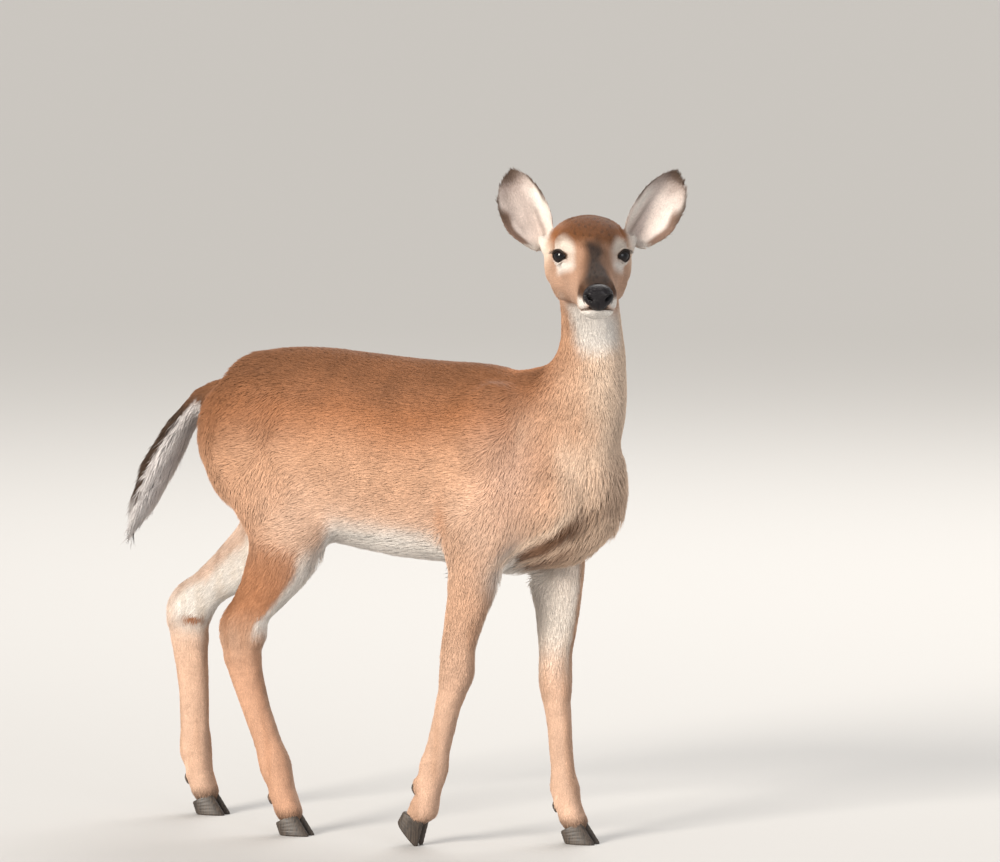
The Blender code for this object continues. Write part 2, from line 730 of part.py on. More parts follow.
def cut_leg(trunk, leg):
    """One leg in its two lengths, with its hooves and dewclaws let into it."""
    upper = take(trunk, upper_region(leg), f"leg_{leg}_upper", "coat")
    lower = take(upper, lower_region(leg), f"leg_{leg}_lower", "legs")
    for toe in (-1, 1):
        make_room(lower, hoof(leg, toe))
        make_room(lower, dewclaw(leg, toe))


def main():
    for old in list(bpy.data.objects):
        bpy.data.objects.remove(old)
    head_space = ((0.045, 0.0, -0.0150), (0.30, 0.40, 0.26), 23.0)
    cut_head(head_space)
    trunk = thinned(fused("trunk", all_masses(), BODY_VOXEL, 4), BODY_TRIANGLES)
    make_room(trunk, helper(block(*head_space, head_place())))
    take(trunk, block((0.480, 0.0, 0.900), (0.40, 0.50, 0.30), 50.0), "neck", "throat")
    for leg in LEGS:
        cut_leg(trunk, leg)
    paint(trunk, "coat")
    make_room(trunk, tail())
    set_on_origin()


main()
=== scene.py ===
"""Looks of a life-size white-tailed deer doe: one skin, its coat in tufts, her eyes, nose leather and hooves.

Metres, in the frame of the CAD part: +X forward, +Y to her left, +Z up.
"""

import json
import math

import bmesh
import bpy
import numpy as np
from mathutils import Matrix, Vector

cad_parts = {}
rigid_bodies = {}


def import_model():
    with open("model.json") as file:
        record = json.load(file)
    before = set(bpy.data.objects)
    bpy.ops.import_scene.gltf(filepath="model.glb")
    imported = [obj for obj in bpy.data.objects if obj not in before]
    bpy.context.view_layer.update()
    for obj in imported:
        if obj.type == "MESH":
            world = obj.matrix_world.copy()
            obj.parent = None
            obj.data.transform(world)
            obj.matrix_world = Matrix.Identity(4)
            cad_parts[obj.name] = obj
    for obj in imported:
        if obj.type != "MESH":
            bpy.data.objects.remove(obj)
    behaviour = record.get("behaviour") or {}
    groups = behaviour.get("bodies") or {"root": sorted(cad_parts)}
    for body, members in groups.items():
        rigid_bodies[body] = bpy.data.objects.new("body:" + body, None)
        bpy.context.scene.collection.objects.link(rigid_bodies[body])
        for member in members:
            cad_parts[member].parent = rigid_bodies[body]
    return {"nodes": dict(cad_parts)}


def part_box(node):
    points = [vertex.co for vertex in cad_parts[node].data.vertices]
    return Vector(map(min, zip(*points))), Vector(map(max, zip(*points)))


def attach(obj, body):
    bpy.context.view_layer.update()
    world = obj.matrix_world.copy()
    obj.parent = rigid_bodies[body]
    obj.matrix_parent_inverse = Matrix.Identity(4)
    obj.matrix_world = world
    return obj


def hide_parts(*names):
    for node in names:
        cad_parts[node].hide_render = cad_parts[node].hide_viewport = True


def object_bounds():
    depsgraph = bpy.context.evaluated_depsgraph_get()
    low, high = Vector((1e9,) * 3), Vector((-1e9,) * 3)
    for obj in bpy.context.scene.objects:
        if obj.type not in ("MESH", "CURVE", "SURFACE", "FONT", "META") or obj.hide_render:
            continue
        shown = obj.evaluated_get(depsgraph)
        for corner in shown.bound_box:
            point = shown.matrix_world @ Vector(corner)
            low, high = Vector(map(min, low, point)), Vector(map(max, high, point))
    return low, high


for thing in list(bpy.data.objects):
    bpy.data.objects.remove(thing)
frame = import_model()
cad_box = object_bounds()

# Her build
HEAD_PITCH = math.radians(4.0)  # how far her nose points down
EYE_RADIUS = 0.0168
EYE_AIM = (0.82, 0.56, 0.11)  # the way an eye looks, in the head's frame, for the left one
EYE_WIDE = math.radians(51.5)  # half of the opening between the lids, seen from the eye's centre
EYE_HIGH = math.radians(39.5)
LID_OVER = 0.0013  # the lids' least height over the eyeball
NOSE_AT = (0.146, 0.0, -0.054)  # the leather's middle, in the head's frame
NOSE_HALF = (0.0168, 0.0262, 0.023)
PAD_SEAT = 0.019  # how far the skin steps back inside the leather
EAR_LENGTH = 0.149
HOOF_LENGTH, HOOF_HEIGHT, HOOF_WIDTH, HOOF_RAKE, HOOF_TAPER = 0.058, 0.036, 0.0215, 0.019, 0.36
BODY_VOXEL, HEAD_VOXEL = 0.0072, 0.0024
GAP_CLOSING = 0.0006  # how far the solids are swollen, so that they meet
LEGS = ["fore_left", "fore_right", "hind_left", "hind_right"]
FLESH = ["trunk", "neck", "head", "ear_left", "ear_right", "tail"]
FLESH += [f"leg_{leg}_{part}" for leg in LEGS for part in ("upper", "lower")]
CLAWS = [f"dewclaw_{leg}_{toe}" for leg in LEGS for toe in ("inner", "outer")]
TURN = 2 * np.pi

# Small maths


def unit(v):
    """Vectors scaled to length 1, row by row."""
    v = np.asarray(v, float)
    return v / np.maximum(np.linalg.norm(v, axis=-1, keepdims=True), 1e-12)


def dot(a, b):
    """Dot product row by row."""
    return (a * b).sum(-1)


def size(v):
    """Lengths of vectors, row by row."""
    return np.linalg.norm(v, axis=-1)


def ramp(low, high, x):
    """0 below low, 1 above high, and a smooth S between them."""
    t = np.clip((x - low) / (high - low), 0.0, 1.0)
    return t * t * (3.0 - 2.0 * t)


def hill(*u):
    """exp of minus the sum of the squares of u."""
    return np.exp(-sum(x**2 for x in u))


def bell(x, middle, half):
    """1 at the middle, falling as exp(-(distance / half)^2)."""
    return hill((x - middle) / half)


def blob(p, centre, half):
    """A bell in three directions: exp of minus the squared distance from the centre in units of half."""
    return np.exp(-(((p - np.array(centre)) / np.array(half)) ** 2).sum(-1))


def spot(p, centre, half, gain):
    """A blob made higher and cut flat at 1."""
    return np.clip(gain * blob(p, centre, half), 0, 1)


def folded(p):
    """The points with her right side mirrored onto her left."""
    return np.stack([p[:, 0], np.abs(p[:, 1]), p[:, 2]], axis=1)


def mix(a, b, t):
    """a where t is 0 and b where t is 1, for colours."""
    t = np.asarray(t)[..., None]
    return a * (1.0 - t) + np.asarray(b) * t


def layered(c, *layers):
    """Colours laid over c one after another, each given with its share from 0 to 1."""
    for colour, share in layers:
        c = mix(c, colour, share)
    return c


def waves(p, scale, seed):
    """A cheap smooth noise between about -1 and 1: the mean of nine sines along fixed random directions."""
    draw = np.random.default_rng(seed)
    way = unit(draw.normal(size=(9, 3))) * draw.uniform(0.6, 1.5, (9, 1)) * scale
    return np.sin(p @ way.T + draw.uniform(0.0, 6.3, 9)).mean(-1) * 2.2


def pitched(q, angle):
    """Points turned about the sideways axis, so that what is high moves forward."""
    c, s = math.cos(angle), math.sin(angle)
    return q @ np.array([[c, 0, s], [0, 1, 0], [-s, 0, c]]).T


# Meshes


def arrays_of(mesh):
    """Points and triangles of a mesh."""
    co = np.empty(len(mesh.vertices) * 3, np.float32)
    mesh.vertices.foreach_get("co", co)
    mesh.calc_loop_triangles()
    tri = np.empty(len(mesh.loop_triangles) * 3, np.int32)
    mesh.loop_triangles.foreach_get("vertices", tri)
    return co.reshape(-1, 3).astype(float), tri.reshape(-1, 3)


def read(node):
    """Points and triangles of a CAD node, with its coincident points merged."""
    co, tri = arrays_of(frame["nodes"][node].data)
    key = np.round(co / 1e-5).astype(np.int64)
    _, first, index = np.unique(key, axis=0, return_index=True, return_inverse=True)
    tri = index.reshape(-1)[tri]
    return co[first], tri[(tri != np.roll(tri, 1, axis=1)).all(1)]


def normals(points, tri):
    """Outward unit normals at the points, each the sum of its triangles' normals by area."""
    a, b, c = (points[tri[:, k]] for k in range(3))
    face = np.cross(b - a, c - a)
    total = np.zeros_like(points)
    for k in range(3):
        for axis in range(3):
            total[:, axis] += np.bincount(tri[:, k], face[:, axis], len(points))
    return unit(total)


def linked(name, data):
    """An object of the scene that shows the data."""
    made = bpy.data.objects.new(name, data)
    bpy.context.scene.collection.objects.link(made)
    return made


def object_of(name, points, faces):
    """A linked object from points and from triangles or quads, all of one kind, with smooth shading."""
    faces = np.asarray(faces, np.int32)
    mesh = bpy.data.meshes.new(name)
    mesh.vertices.add(len(points))
    mesh.vertices.foreach_set("co", np.asarray(points, np.float32).ravel())
    mesh.loops.add(faces.size)
    mesh.loops.foreach_set("vertex_index", faces.ravel())
    mesh.polygons.add(len(faces))
    mesh.polygons.foreach_set("loop_start", np.arange(len(faces), dtype=np.int32) * faces.shape[1])
    mesh.polygons.foreach_set("use_smooth", np.ones(len(faces), bool))
    mesh.update(calc_edges=True)
    return linked(name, mesh)


def outward(points, tri):
    """The triangles, turned round if the closed shape was inside out."""
    return tri if np.linalg.det((points - points.mean(0))[tri]).sum() > 0 else tri[:, ::-1]


def closed(name, points, tri):
    """An object from a closed shape."""
    return object_of(name, points, outward(points, tri))


def merged(shapes):
    """Several shapes as one set of points and triangles."""
    starts = np.cumsum([0] + [len(s[0]) for s in shapes[:-1]])
    return np.concatenate([s[0] for s in shapes]), np.concatenate([s[1] + k for s, k in zip(shapes, starts)])


def strips(rows, columns, wraps=True):
    """Quads between neighbouring rows of points. Each row is closed to a ring if it wraps."""
    i, j = np.meshgrid(np.arange(rows - 1), np.arange(columns - (not wraps)), indexing="ij")
    k = (j + 1) % columns
    quads = [i * columns + j, i * columns + k, (i + 1) * columns + k, (i + 1) * columns + j]
    return np.stack(quads, axis=-1).reshape(-1, 4)


def halved(quads):
    """Two triangles for each quad."""
    return np.concatenate([quads[:, [0, 1, 2]], quads[:, [0, 2, 3]]])


def remeshed(shapes, voxel):
    """One even closed mesh of quads round all the closed shapes, which may overlap."""
    made = object_of("remesh", *merged(shapes))
    step = made.modifiers.new("voxel", "REMESH")
    step.mode = "VOXEL"
    step.voxel_size = voxel
    graph = bpy.context.evaluated_depsgraph_get()
    mesh = bpy.data.meshes.new_from_object(made.evaluated_get(graph))
    bpy.data.objects.remove(made)
    return mesh


def smoothed(mesh, filling, easing):
    """The mesh with its creases filled, then eased. In a filling step each point of a hollow moves out towards its
    neighbours' mean. In an easing step all points move to it by half, then back, so facets go and the girth stays."""
    edge = np.empty(len(mesh.edges) * 2, np.int32)
    mesh.edges.foreach_get("vertices", edge)
    a, b = edge.reshape(-1, 2).T
    near, of = np.r_[a, b], np.r_[b, a]
    count = np.bincount(of, minlength=len(mesh.vertices))[:, None]
    for steps in ([0.0] * filling, [0.5, -0.53] * easing):
        p, tri = arrays_of(mesh)
        for amount in steps:
            gap = np.stack([np.bincount(of, p[near, axis], len(p)) for axis in range(3)], axis=1) / count - p
            if amount:
                p += amount * gap
            else:
                n = normals(p, tri)
                p += n * np.maximum(dot(gap, n), 0.0)[:, None] * 0.8
        mesh.vertices.foreach_set("co", p.astype(np.float32).ravel())
        mesh.update()
    return mesh


def swollen(shape, by=GAP_CLOSING):
    """The shape with its points moved out along their normals."""
    points, tri = shape
    return points + normals(points, tri) * by, tri


def ball(rings, sides, axis=2):
    """A unit sphere: latitude circles about one axis, closed by a point at each pole. Points and triangles."""
    a, b = np.meshgrid(np.pi * np.arange(1, rings) / rings, TURN * np.arange(sides) / sides, indexing="ij")
    body = np.stack([np.sin(a) * np.cos(b), np.sin(a) * np.sin(b), np.cos(a)], axis=-1).reshape(-1, 3)
    points = np.concatenate([[(0, 0, 1)], body, [(0, 0, -1)]])
    j = np.arange(sides)
    k = (j + 1) % sides
    last = (rings - 2) * sides + 1
    tri = np.concatenate([
        halved(strips(rings - 1, sides)[:, [0, 3, 2, 1]] + 1), np.stack([0 * j, 1 + j, 1 + k], 1),
        np.stack([0 * j + len(points) - 1, last + k, last + j], 1),
    ])
    return np.roll(points, axis + 1, axis=1), tri


def egg(centre, half):
    """An ellipsoid, to be taken into the skin."""
    p, tri = ball(16, 20)
    return p * half + centre, tri


# Frames: the head's, and the one that the body's masses were drawn in


def middle(node):
    """Centre of a node's box."""
    low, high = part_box(node)
    return (np.array(low) + np.array(high)) / 2


eye_left, eye_right = middle("eye_left"), middle("eye_right")
head_origin = (eye_left + eye_right) / 2
to_left = unit(eye_left - eye_right)
to_nose = np.cross(to_left, (0.0, 0.0, 1.0)) * math.cos(HEAD_PITCH) - np.array((0.0, 0.0, math.sin(HEAD_PITCH)))
HEAD_AXES = np.array([to_nose, to_left, np.cross(to_nose, to_left)])
EYE_SIDE = np.linalg.norm(eye_left - eye_right) / 2
BODY_ORIGIN = head_origin - np.array((0.458, -0.142, 1.066))


def in_head(p):
    """Points of the row frame in the head's frame: x to the nose, y to her left, z up, from between the eyes."""
    return (p - head_origin) @ HEAD_AXES.T


def from_head(q):
    """The way back from in_head."""
    return np.asarray(q) @ HEAD_AXES + head_origin


# Ears


def ear_axes(side):
    """Root, length way, outward way and opening way of an ear, in the head's frame."""
    tilt, lean = (math.radians(32.0), 0.16) if side > 0 else (math.radians(22.5), 0.48)
    along = unit([-lean, side * math.sin(tilt), math.cos(tilt)])
    opening = np.array([0.94, side * 0.22, 0.2])
    opening = unit(opening - along * opening.dot(along))
    return np.array([-0.064, side * 0.078, 0.014]), along, np.cross(opening, along) * -side, opening


def ear_halves(t):
    """Outer and inner half width of an ear at a share t of its length: each a quarter sine up to its widest place,
    then a rounded fall to its tip."""
    swell, fall = 0.42, 0.58
    past = np.clip((t - swell) / fall, 0.0, 1.0)

    def half(widest, root, fullness):
        """One edge of the ear."""
        rise = widest * (root + (1.0 - root) * np.sin(np.pi / 2 * np.minimum(t / swell, 1.0)))
        return np.where(t < swell, rise, np.maximum(widest * (1.0 - past**fullness) ** 0.7, 0.002))

    return half(0.0515, 0.42, 3.0), half(0.0345, 0.55, 2.2)


def ear_shell(side):
    """A cupped leaf: across it the sheet sinks as 1 - u^2, with soft ridges, and its back is set off from it."""
    root, along, outer_way, opening = ear_axes(side)
    n, m = 64, 40
    t, u = np.meshgrid(np.linspace(0.0, 1.0, n), np.linspace(-1.0, 1.0, m), indexing="ij")
    outer, inner = ear_halves(t)
    arch = 1.0 - u * u
    sink = (0.036 * (1.0 - t) ** 0.7 + 0.006) * arch * np.minimum(1.0, (outer + inner) / 0.05)
    reach = np.where(u > 0, outer * u, inner * u)
    ridge = 0.0022 * np.cos(u * 10.0 + 1.5 * t) * ramp(0.05, 0.3, t) * (1.0 - ramp(0.6, 0.95, t)) * arch
    thick = 0.0046 * (1.0 + 1.6 * (1.0 - t) ** 3) * (1.0 - 0.35 * u * u)
    front = root + along * (EAR_LENGTH * t)[..., None] + outer_way * reach[..., None]
    front = front - opening * (sink + ridge)[..., None]
    points = np.concatenate([front.reshape(-1, 3), (front - opening * thick[..., None]).reshape(-1, 3)])
    quads = strips(n, m, False)
    rim = np.concatenate([
        np.arange(m), np.arange(1, n) * m + m - 1, (n - 1) * m + np.arange(m - 2, -1, -1), np.arange(n - 2, 0, -1) * m
    ])
    ahead = np.roll(rim, -1)
    wall = np.stack([rim, ahead, ahead + n * m, rim + n * m], axis=1)
    tri = halved(np.concatenate([quads, quads[:, ::-1] + n * m, wall]))
    return from_head(points), outward(points, tri)


# Feet

FEET = {  # where each foot stands, and how far its heel is raised, in degrees
    "fore_left": ((0.332, 0.077, 0.0), 0.0), "fore_right": ((0.054, -0.08, 0.0), 52.0),
    "hind_left": ((-0.438, 0.077, 0.0), 0.0), "hind_right": ((-0.171, -0.074, 0.0), 0.0),
}


def on_foot(q, foot, raised):
    """Points drawn about a foot that stands flat, set in its place, and tipped over its toe if its heel is raised."""
    if raised:
        pivot = np.array((HOOF_LENGTH / 2, 0.0, 0.0))
        q = pitched(q - pivot, math.radians(raised)) + pivot - (0.0, 0.0, 0.0035)
    return q + foot


# Skin


def trimmed(mesh, point, way, keep_above):
    """The mesh cut by a plane, with only one side kept, and the indices of its cut edge in order."""
    shape = bmesh.new()
    shape.from_mesh(mesh)
    bmesh.ops.bisect_plane(
        shape, geom=shape.verts[:] + shape.edges[:] + shape.faces[:], dist=1e-5, plane_co=point, plane_no=way,
        clear_inner=keep_above, clear_outer=not keep_above,
    )
    bmesh.ops.remove_doubles(shape, verts=[v for v in shape.verts if v.is_boundary], dist=2e-5)
    shape.verts.index_update()
    edge = next(e for e in shape.edges if e.is_boundary)
    ring = [edge.verts[0]]
    while (ahead := edge.other_vert(ring[-1])) is not ring[0]:
        ring.append(ahead)
        edge = next(e for e in ahead.link_edges if e.is_boundary and e is not edge)
    ring = [v.index for v in ring]
    shape.to_mesh(mesh)
    shape.free()
    return mesh, ring


def body_mesh():
    """Trunk, neck, legs and tail as one even mesh, with soft ends to the pasterns, out of which the hooves and the
    dewclaws come, and flesh round the tail's root. It is smoothed until no facet is left."""
    swell = {"leg_hind_left_lower": 0.004, "leg_hind_right_lower": 0.0036, "leg_fore_left_lower": 0.002,
             "leg_fore_right_lower": 0.002}
    shapes = [swollen(read(node), swell.get(node, GAP_CLOSING)) for node in FLESH if "ear" not in node]
    eggs = [egg((-0.374, 0.0, 0.788), (0.048, 0.03, 0.034))]
    for foot, raised in FEET.values():
        heel = on_foot(np.array([(-0.018, 0.0, 0.04), (-0.026, 0.0, 0.052)]), foot, raised)
        eggs += [egg(heel[0], (0.025, 0.0235, 0.019)), egg(heel[1], (0.023, 0.0235, 0.023))]
    for claw in CLAWS:
        eggs.append(egg(middle(claw) - BODY_ORIGIN + (0.01, 0.0, 0.006), (0.0165, 0.0098, 0.0175)))
    return smoothed(remeshed(shapes + [(p + BODY_ORIGIN, tri) for p, tri in eggs], BODY_VOXEL), 10, 14)


def lean_temples(shape):
    """The head's solid with the burrs before and above the ears' roots pressed in, so that the ears stand free."""
    points, tri = shape
    q = in_head(points)
    s = np.abs(q[:, 1])
    limit = 0.092 - 0.031 * ramp(-0.016, 0.006, q[:, 2]) * ramp(-0.074, -0.06, q[:, 0])
    q[:, 2] -= np.maximum(q[:, 2] - 0.024, 0.0) * ramp(0.062, 0.072, s)
    q[:, 1] = np.sign(q[:, 1]) * np.minimum(s, limit)
    return from_head(q), tri


def head_mesh():
    """Head, ears and upper neck as one fine even mesh, with the flesh that the ears stand on, balls that hold the
    lids out over the eyes, and a full crown."""
    shapes = [swollen(shape) for shape in (read("neck"), read("nose"), lean_temples(read("head")))]
    eggs = []
    for side in (-1, 1):
        eggs.append(egg((-0.062, side * 0.061, 0.004), (0.02, 0.016, 0.018)))
        eggs.append(egg((0.0, side * EYE_SIDE, 0.0), EYE_RADIUS + 0.0014))
    eggs.append(egg((-0.062, 0.0, 0.028), (0.03, 0.064, 0.036)))
    shapes += [ear_shell(1), ear_shell(-1)] + [(from_head(p), tri) for p, tri in eggs]
    return smoothed(remeshed(shapes, HEAD_VOXEL), 34, 30)


def stitched():
    """The body below a plane across the neck and the head above it, zipped together round the two rings of the cut."""
    cut, way, half_gap = from_head((-0.07, 0.0, -0.14)), unit((0.15, -0.35, 0.92)), 0.003
    low, low_ring = trimmed(body_mesh(), cut - way * half_gap, way, False)
    high, high_ring = trimmed(head_mesh(), cut + way * half_gap, way, True)
    offset = len(low.vertices)
    shape = bmesh.new()
    shape.from_mesh(low)
    shape.from_mesh(high)
    shape.verts.ensure_lookup_table()
    across = unit(np.cross(way, (0.0, 1.0, 0.0)))
    turned = []
    for ring in ([shape.verts[i] for i in low_ring], [shape.verts[offset + i] for i in high_ring]):
        p = np.array([v.co for v in ring]) - cut
        angle = np.unwrap(np.arctan2(p @ np.cross(way, across), p @ across))
        if angle[-1] < angle[0]:
            ring, angle = ring[::-1], angle[::-1]
        first = int(np.argmin(np.mod(angle, TURN)))
        angle = np.unwrap(np.mod(np.roll(angle, -first), TURN))
        turned.append((ring[first:] + ring[:first], np.append(angle, (angle[0] + TURN, 99.0))))
    (a, at), (b, bt) = turned
    i = j = 0
    while i < len(a) or j < len(b):
        here, there = a[i % len(a)], b[j % len(b)]
        if at[i + 1] <= bt[j + 1]:
            i += 1
            shape.faces.new((here, a[i % len(a)], there))
        else:
            j += 1
            shape.faces.new((here, b[j % len(b)], there))
    shape.verts.index_update()
    refine(shape)
    bmesh.ops.triangulate(shape, faces=shape.faces[:])
    bmesh.ops.recalc_face_normals(shape, faces=shape.faces[:])
    shape.to_mesh(low)
    shape.free()
    points, tri = arrays_of(low)
    bpy.data.meshes.remove(low)
    bpy.data.meshes.remove(high)
    return points, tri


def refine(shape):
    """Halves the edges round the eyes, the nostrils and the mouth, where the folds are small."""
    p = in_head(np.array([v.co for v in shape.verts]))
    mouth = (p[:, 0] > 0.108) & (p[:, 2] < -0.03) & (np.abs(p[:, 1]) < 0.05)
    fine = mouth | (size(folded(p) - (0.006, 0.053, 0.0)) < 0.024)
    edges = [e for e in shape.edges if fine[e.verts[0].index] and fine[e.verts[1].index]]
    bmesh.ops.subdivide_edges(shape, edges=edges, cuts=1, use_grid_fill=True)
    shape.verts.index_update()


def eye_axes(side):
    """An eye's centre, the way it looks, the way to its front corner and the way up, in the head's frame."""
    aim = unit(np.array(EYE_AIM) * (1, side, 1))
    front = unit(np.cross((0.0, 0.0, 1.0), aim)) * -side
    front = unit(front + np.array((0.0, 0.0, -0.13)))
    front = unit(front - aim * front.dot(aim))
    return np.array((0.0, side * EYE_SIDE, 0.0)), aim, front, np.cross(aim, front) * -side


def lid_height(u, below):
    """Half height of the opening between the lids at an angle u: less above than below, and least at the front."""
    whole = EYE_HIGH * np.where(below, 1.0, 0.88)
    return whole * (1.0 - ramp(0.0, 1.1, u / EYE_WIDE) * np.where(below, 0.5, 0.15))


def lid_level(q, side):
    """1 on the edge of the opening between the lids and 0 at its middle: an ellipse in the two angles seen from the
    eye's centre, narrowed towards its front corner. Also gives the two angles, and how far the point is."""
    centre, aim, front, up = eye_axes(side)
    e = q - centre
    depth = np.maximum(e @ aim, 1e-5)
    u, v = np.arctan2(e @ front, depth), np.arctan2(e @ up, depth)
    level = np.sqrt((u / EYE_WIDE) ** 2 + (v / lid_height(u, v < 0)) ** 2)
    return np.where(e @ aim > 0, level, 9.0), u, v, size(e)


def mouth_height(x):
    """Height of the line between her lips at a place along the muzzle."""
    return -0.0785 + 0.006 * ramp(0.128, 0.158, x) + 0.002 * ramp(0.115, 0.07, x)


HEAD_BELLS = [  # how far the skin moves out, where, and over what reach, on both sides of the head
    (0.0022, (-0.006, 0.048, 0.026), (0.022, 0.016, 0.009)),  # brow
    (-0.0016, (0.032, 0.042, -0.014), (0.012, 0.02, 0.007)),  # gland before the eye
    (-0.0008, (0.048, 0.036, -0.02), (0.022, 0.02, 0.008)),  # hollow under the nose's side
    (0.0012, (0.006, 0.06, -0.03), (0.034, 0.022, 0.009)),  # cheek bone
    (-0.005, (-0.024, 0.062, -0.066), (0.05, 0.03, 0.024)),  # lean cheeks
    (-0.007, (-0.012, 0.066, -0.03), (0.044, 0.026, 0.02)),
    (-0.001, (0.04, 0.044, -0.07), (0.04, 0.024, 0.02)),
    (-0.0018, (-0.06, 0.058, -0.01), (0.01, 0.022, 0.022)),  # behind the jaw
    (-0.003, (-0.042, 0.074, 0.024), (0.015, 0.02, 0.024)),  # before the ear
    (-0.001, (0.016, 0.0, 0.04), (0.024, 0.014, 0.02)),  # between the brows
    (0.0012, (-0.048, 0.0, 0.066), (0.034, 0.022, 0.024)),  # crown
    (0.0012, (0.124, 0.03, -0.062), (0.02, 0.014, 0.012)),  # upper lip's pad
]
MIDLINE_BELLS = [  # the same for the body, in the places given only
    (0.008, (0.19, 0.0, 0.868), (0.09, 0.06, 0.036)),  # withers
    (-0.018, (0.29, -0.02, 0.886), (0.045, 0.08, 0.044)),  # dip before them
]
BODY_BELLS = [  # the same for the body, on both sides
    (0.005, (0.225, 0.11, 0.69), (0.05, 0.05, 0.09)),  # shoulder
    (0.004, (0.225, 0.066, 0.846), (0.05, 0.03, 0.014)),
    (-0.004, (0.232, 0.088, 0.817), (0.05, 0.03, 0.014)),
    (-0.005, (0.14, 0.12, 0.64), (0.022, 0.06, 0.11)),  # behind it
    (-0.006, (-0.125, 0.12, 0.715), (0.05, 0.06, 0.055)),  # flank
    (0.004, (-0.195, 0.09, 0.82), (0.034, 0.03, 0.024)),  # hip
    (0.004, (-0.27, 0.11, 0.69), (0.06, 0.04, 0.08)),  # thigh
    (-0.004, (-0.165, 0.11, 0.6), (0.022, 0.04, 0.05)),
]
HOCK_BELLS = [(0.007, hock, (0.05, 0.034, 0.045)) for hock in ((-0.486, 0.079, 0.372), (-0.28, -0.077, 0.362))]


def bells(p, rows, start=0.0):
    """A start and the sum of the bells of a table."""
    for amount, centre, half in rows:
        start = start + amount * blob(p, centre, half)
    return start


def head_relief(q):
    """How far the head's surface moves out along its normal: bones and muscles, and the folds of the lips."""
    x, s, z = folded(q).T
    front = ramp(0.072, 0.092, x)
    line = z - mouth_height(x)
    d = bells(folded(q), HEAD_BELLS)
    d -= 0.003 * front * bell(line, 0.0, 0.0016) * ramp(0.004, 0.01, s + 0.2 * ramp(0.15, 0.16, x))
    d += 0.001 * front * bell(line, -0.0055, 0.003)
    return d + 0.0009 * front * bell(line, 0.006, 0.0034)


def body_relief(b):
    """The same for the body: the dip before the withers, the shoulder, the flank, the hip, the thigh, the hocks."""
    return bells(b, HOCK_BELLS, bells(folded(b), BODY_BELLS, bells(b, MIDLINE_BELLS)))


def sculpted(points, tri):
    """The skin with its relief, seated behind the nose leather, and with its lids drawn over the eyeballs.

    Inside the opening the skin sinks into the ball. Outside it the skin stays a lid's thickness over the ball."""
    points = points + normals(points, tri) * body_relief(points - BODY_ORIGIN)[:, None]
    q = in_head(points)
    near = (size(q - (0.03, 0.0, -0.02)) < 0.17) & (q[:, 2] > -0.14)
    way = normals(points, tri) @ HEAD_AXES.T
    q[near] += (way * head_relief(q)[:, None])[near]
    q[:, 0] -= PAD_SEAT * ramp(1.04, 0.88, size((q - NOSE_AT) / NOSE_HALF)) * ramp(0.128, 0.136, q[:, 0])
    for side in (-1, 1):
        centre, aim, _, _ = eye_axes(side)
        level, _, v, far = lid_level(q, side)
        e = q - centre
        close = (far < 0.032) & (e @ aim > -0.004)
        roll = 0.0016 * bell(level, 1.16, 0.14) * (1.0 + 0.5 * ramp(0.0, 0.5, v))
        crease = 0.0016 * bell(level, 1.62, 0.2)
        sunk = EYE_RADIUS * (0.9 + 0.1 * ramp(0.78, 1.0, level))
        want = np.where(level < 1.0, sunk, np.maximum(far, EYE_RADIUS + LID_OVER) + roll - crease)
        scale = np.where(close, want / np.maximum(far, 1e-6), 1.0)
        q = centre + e * scale[:, None]
    return from_head(q)


# Lie of the coat, and where each kind of hair grows

TRUNK, NECK, HEAD, EAR, TAIL, UPPER, LOWER, BELLY = range(8)
#                  trunk   neck    head    ear     tail    upper   lower   belly
DEPTH = np.array([0.0036, 0.003, 0.0008, 0.0004, 0.008, 0.0016, 0.0004, 0.006])  # of the coat over the skin
LENGTH = np.array([0.019, 0.018, 0.0052, 0.0072, 0.042, 0.0145, 0.0088, 0.028])  # of a tuft
WIDTH = np.array([0.0012, 0.001, 0.0008, 0.0007, 0.0015, 0.0012, 0.001, 0.0015])  # of a tuft at its middle
COVER = np.array([1.45, 1.8, 1.1, 1.0, 3.0, 1.1, 0.84, 1.4])  # how many times over the tufts hide the skin
# Chains of places that hair lies along, from the first place to the last
MIRRORED = [  # each also stands on her other side
    (TRUNK, (0.3, 0.03, 0.85), (0.02, 0.03, 0.872), (-0.3, 0.03, 0.87)),
    (TRUNK, (0.25, 0.11, 0.76), (-0.04, 0.125, 0.73), (-0.28, 0.11, 0.7)),
    (TRUNK, (0.22, 0.115, 0.64), (-0.06, 0.125, 0.6)),
    (TRUNK, (-0.02, 0.115, 0.59), (-0.18, 0.11, 0.56)),
    (TRUNK, (-0.26, 0.1, 0.84), (-0.36, 0.07, 0.76)),
    (TRUNK, (-0.34, 0.08, 0.79), (-0.345, 0.085, 0.64)),
    (TRUNK, (-0.2, 0.125, 0.72), (-0.22, 0.12, 0.6)),
    (TRUNK, (0.29, 0.11, 0.74), (0.24, 0.115, 0.58)),
    (NECK, (0.395, 0.0, 0.98), (0.33, 0.06, 0.83), (0.28, 0.085, 0.72)),
    (NECK, (0.4, 0.03, 0.9), (0.38, 0.07, 0.74)),
    (BELLY, (0.25, 0.04, 0.5), (0.04, 0.05, 0.51), (-0.18, 0.04, 0.535)),
]
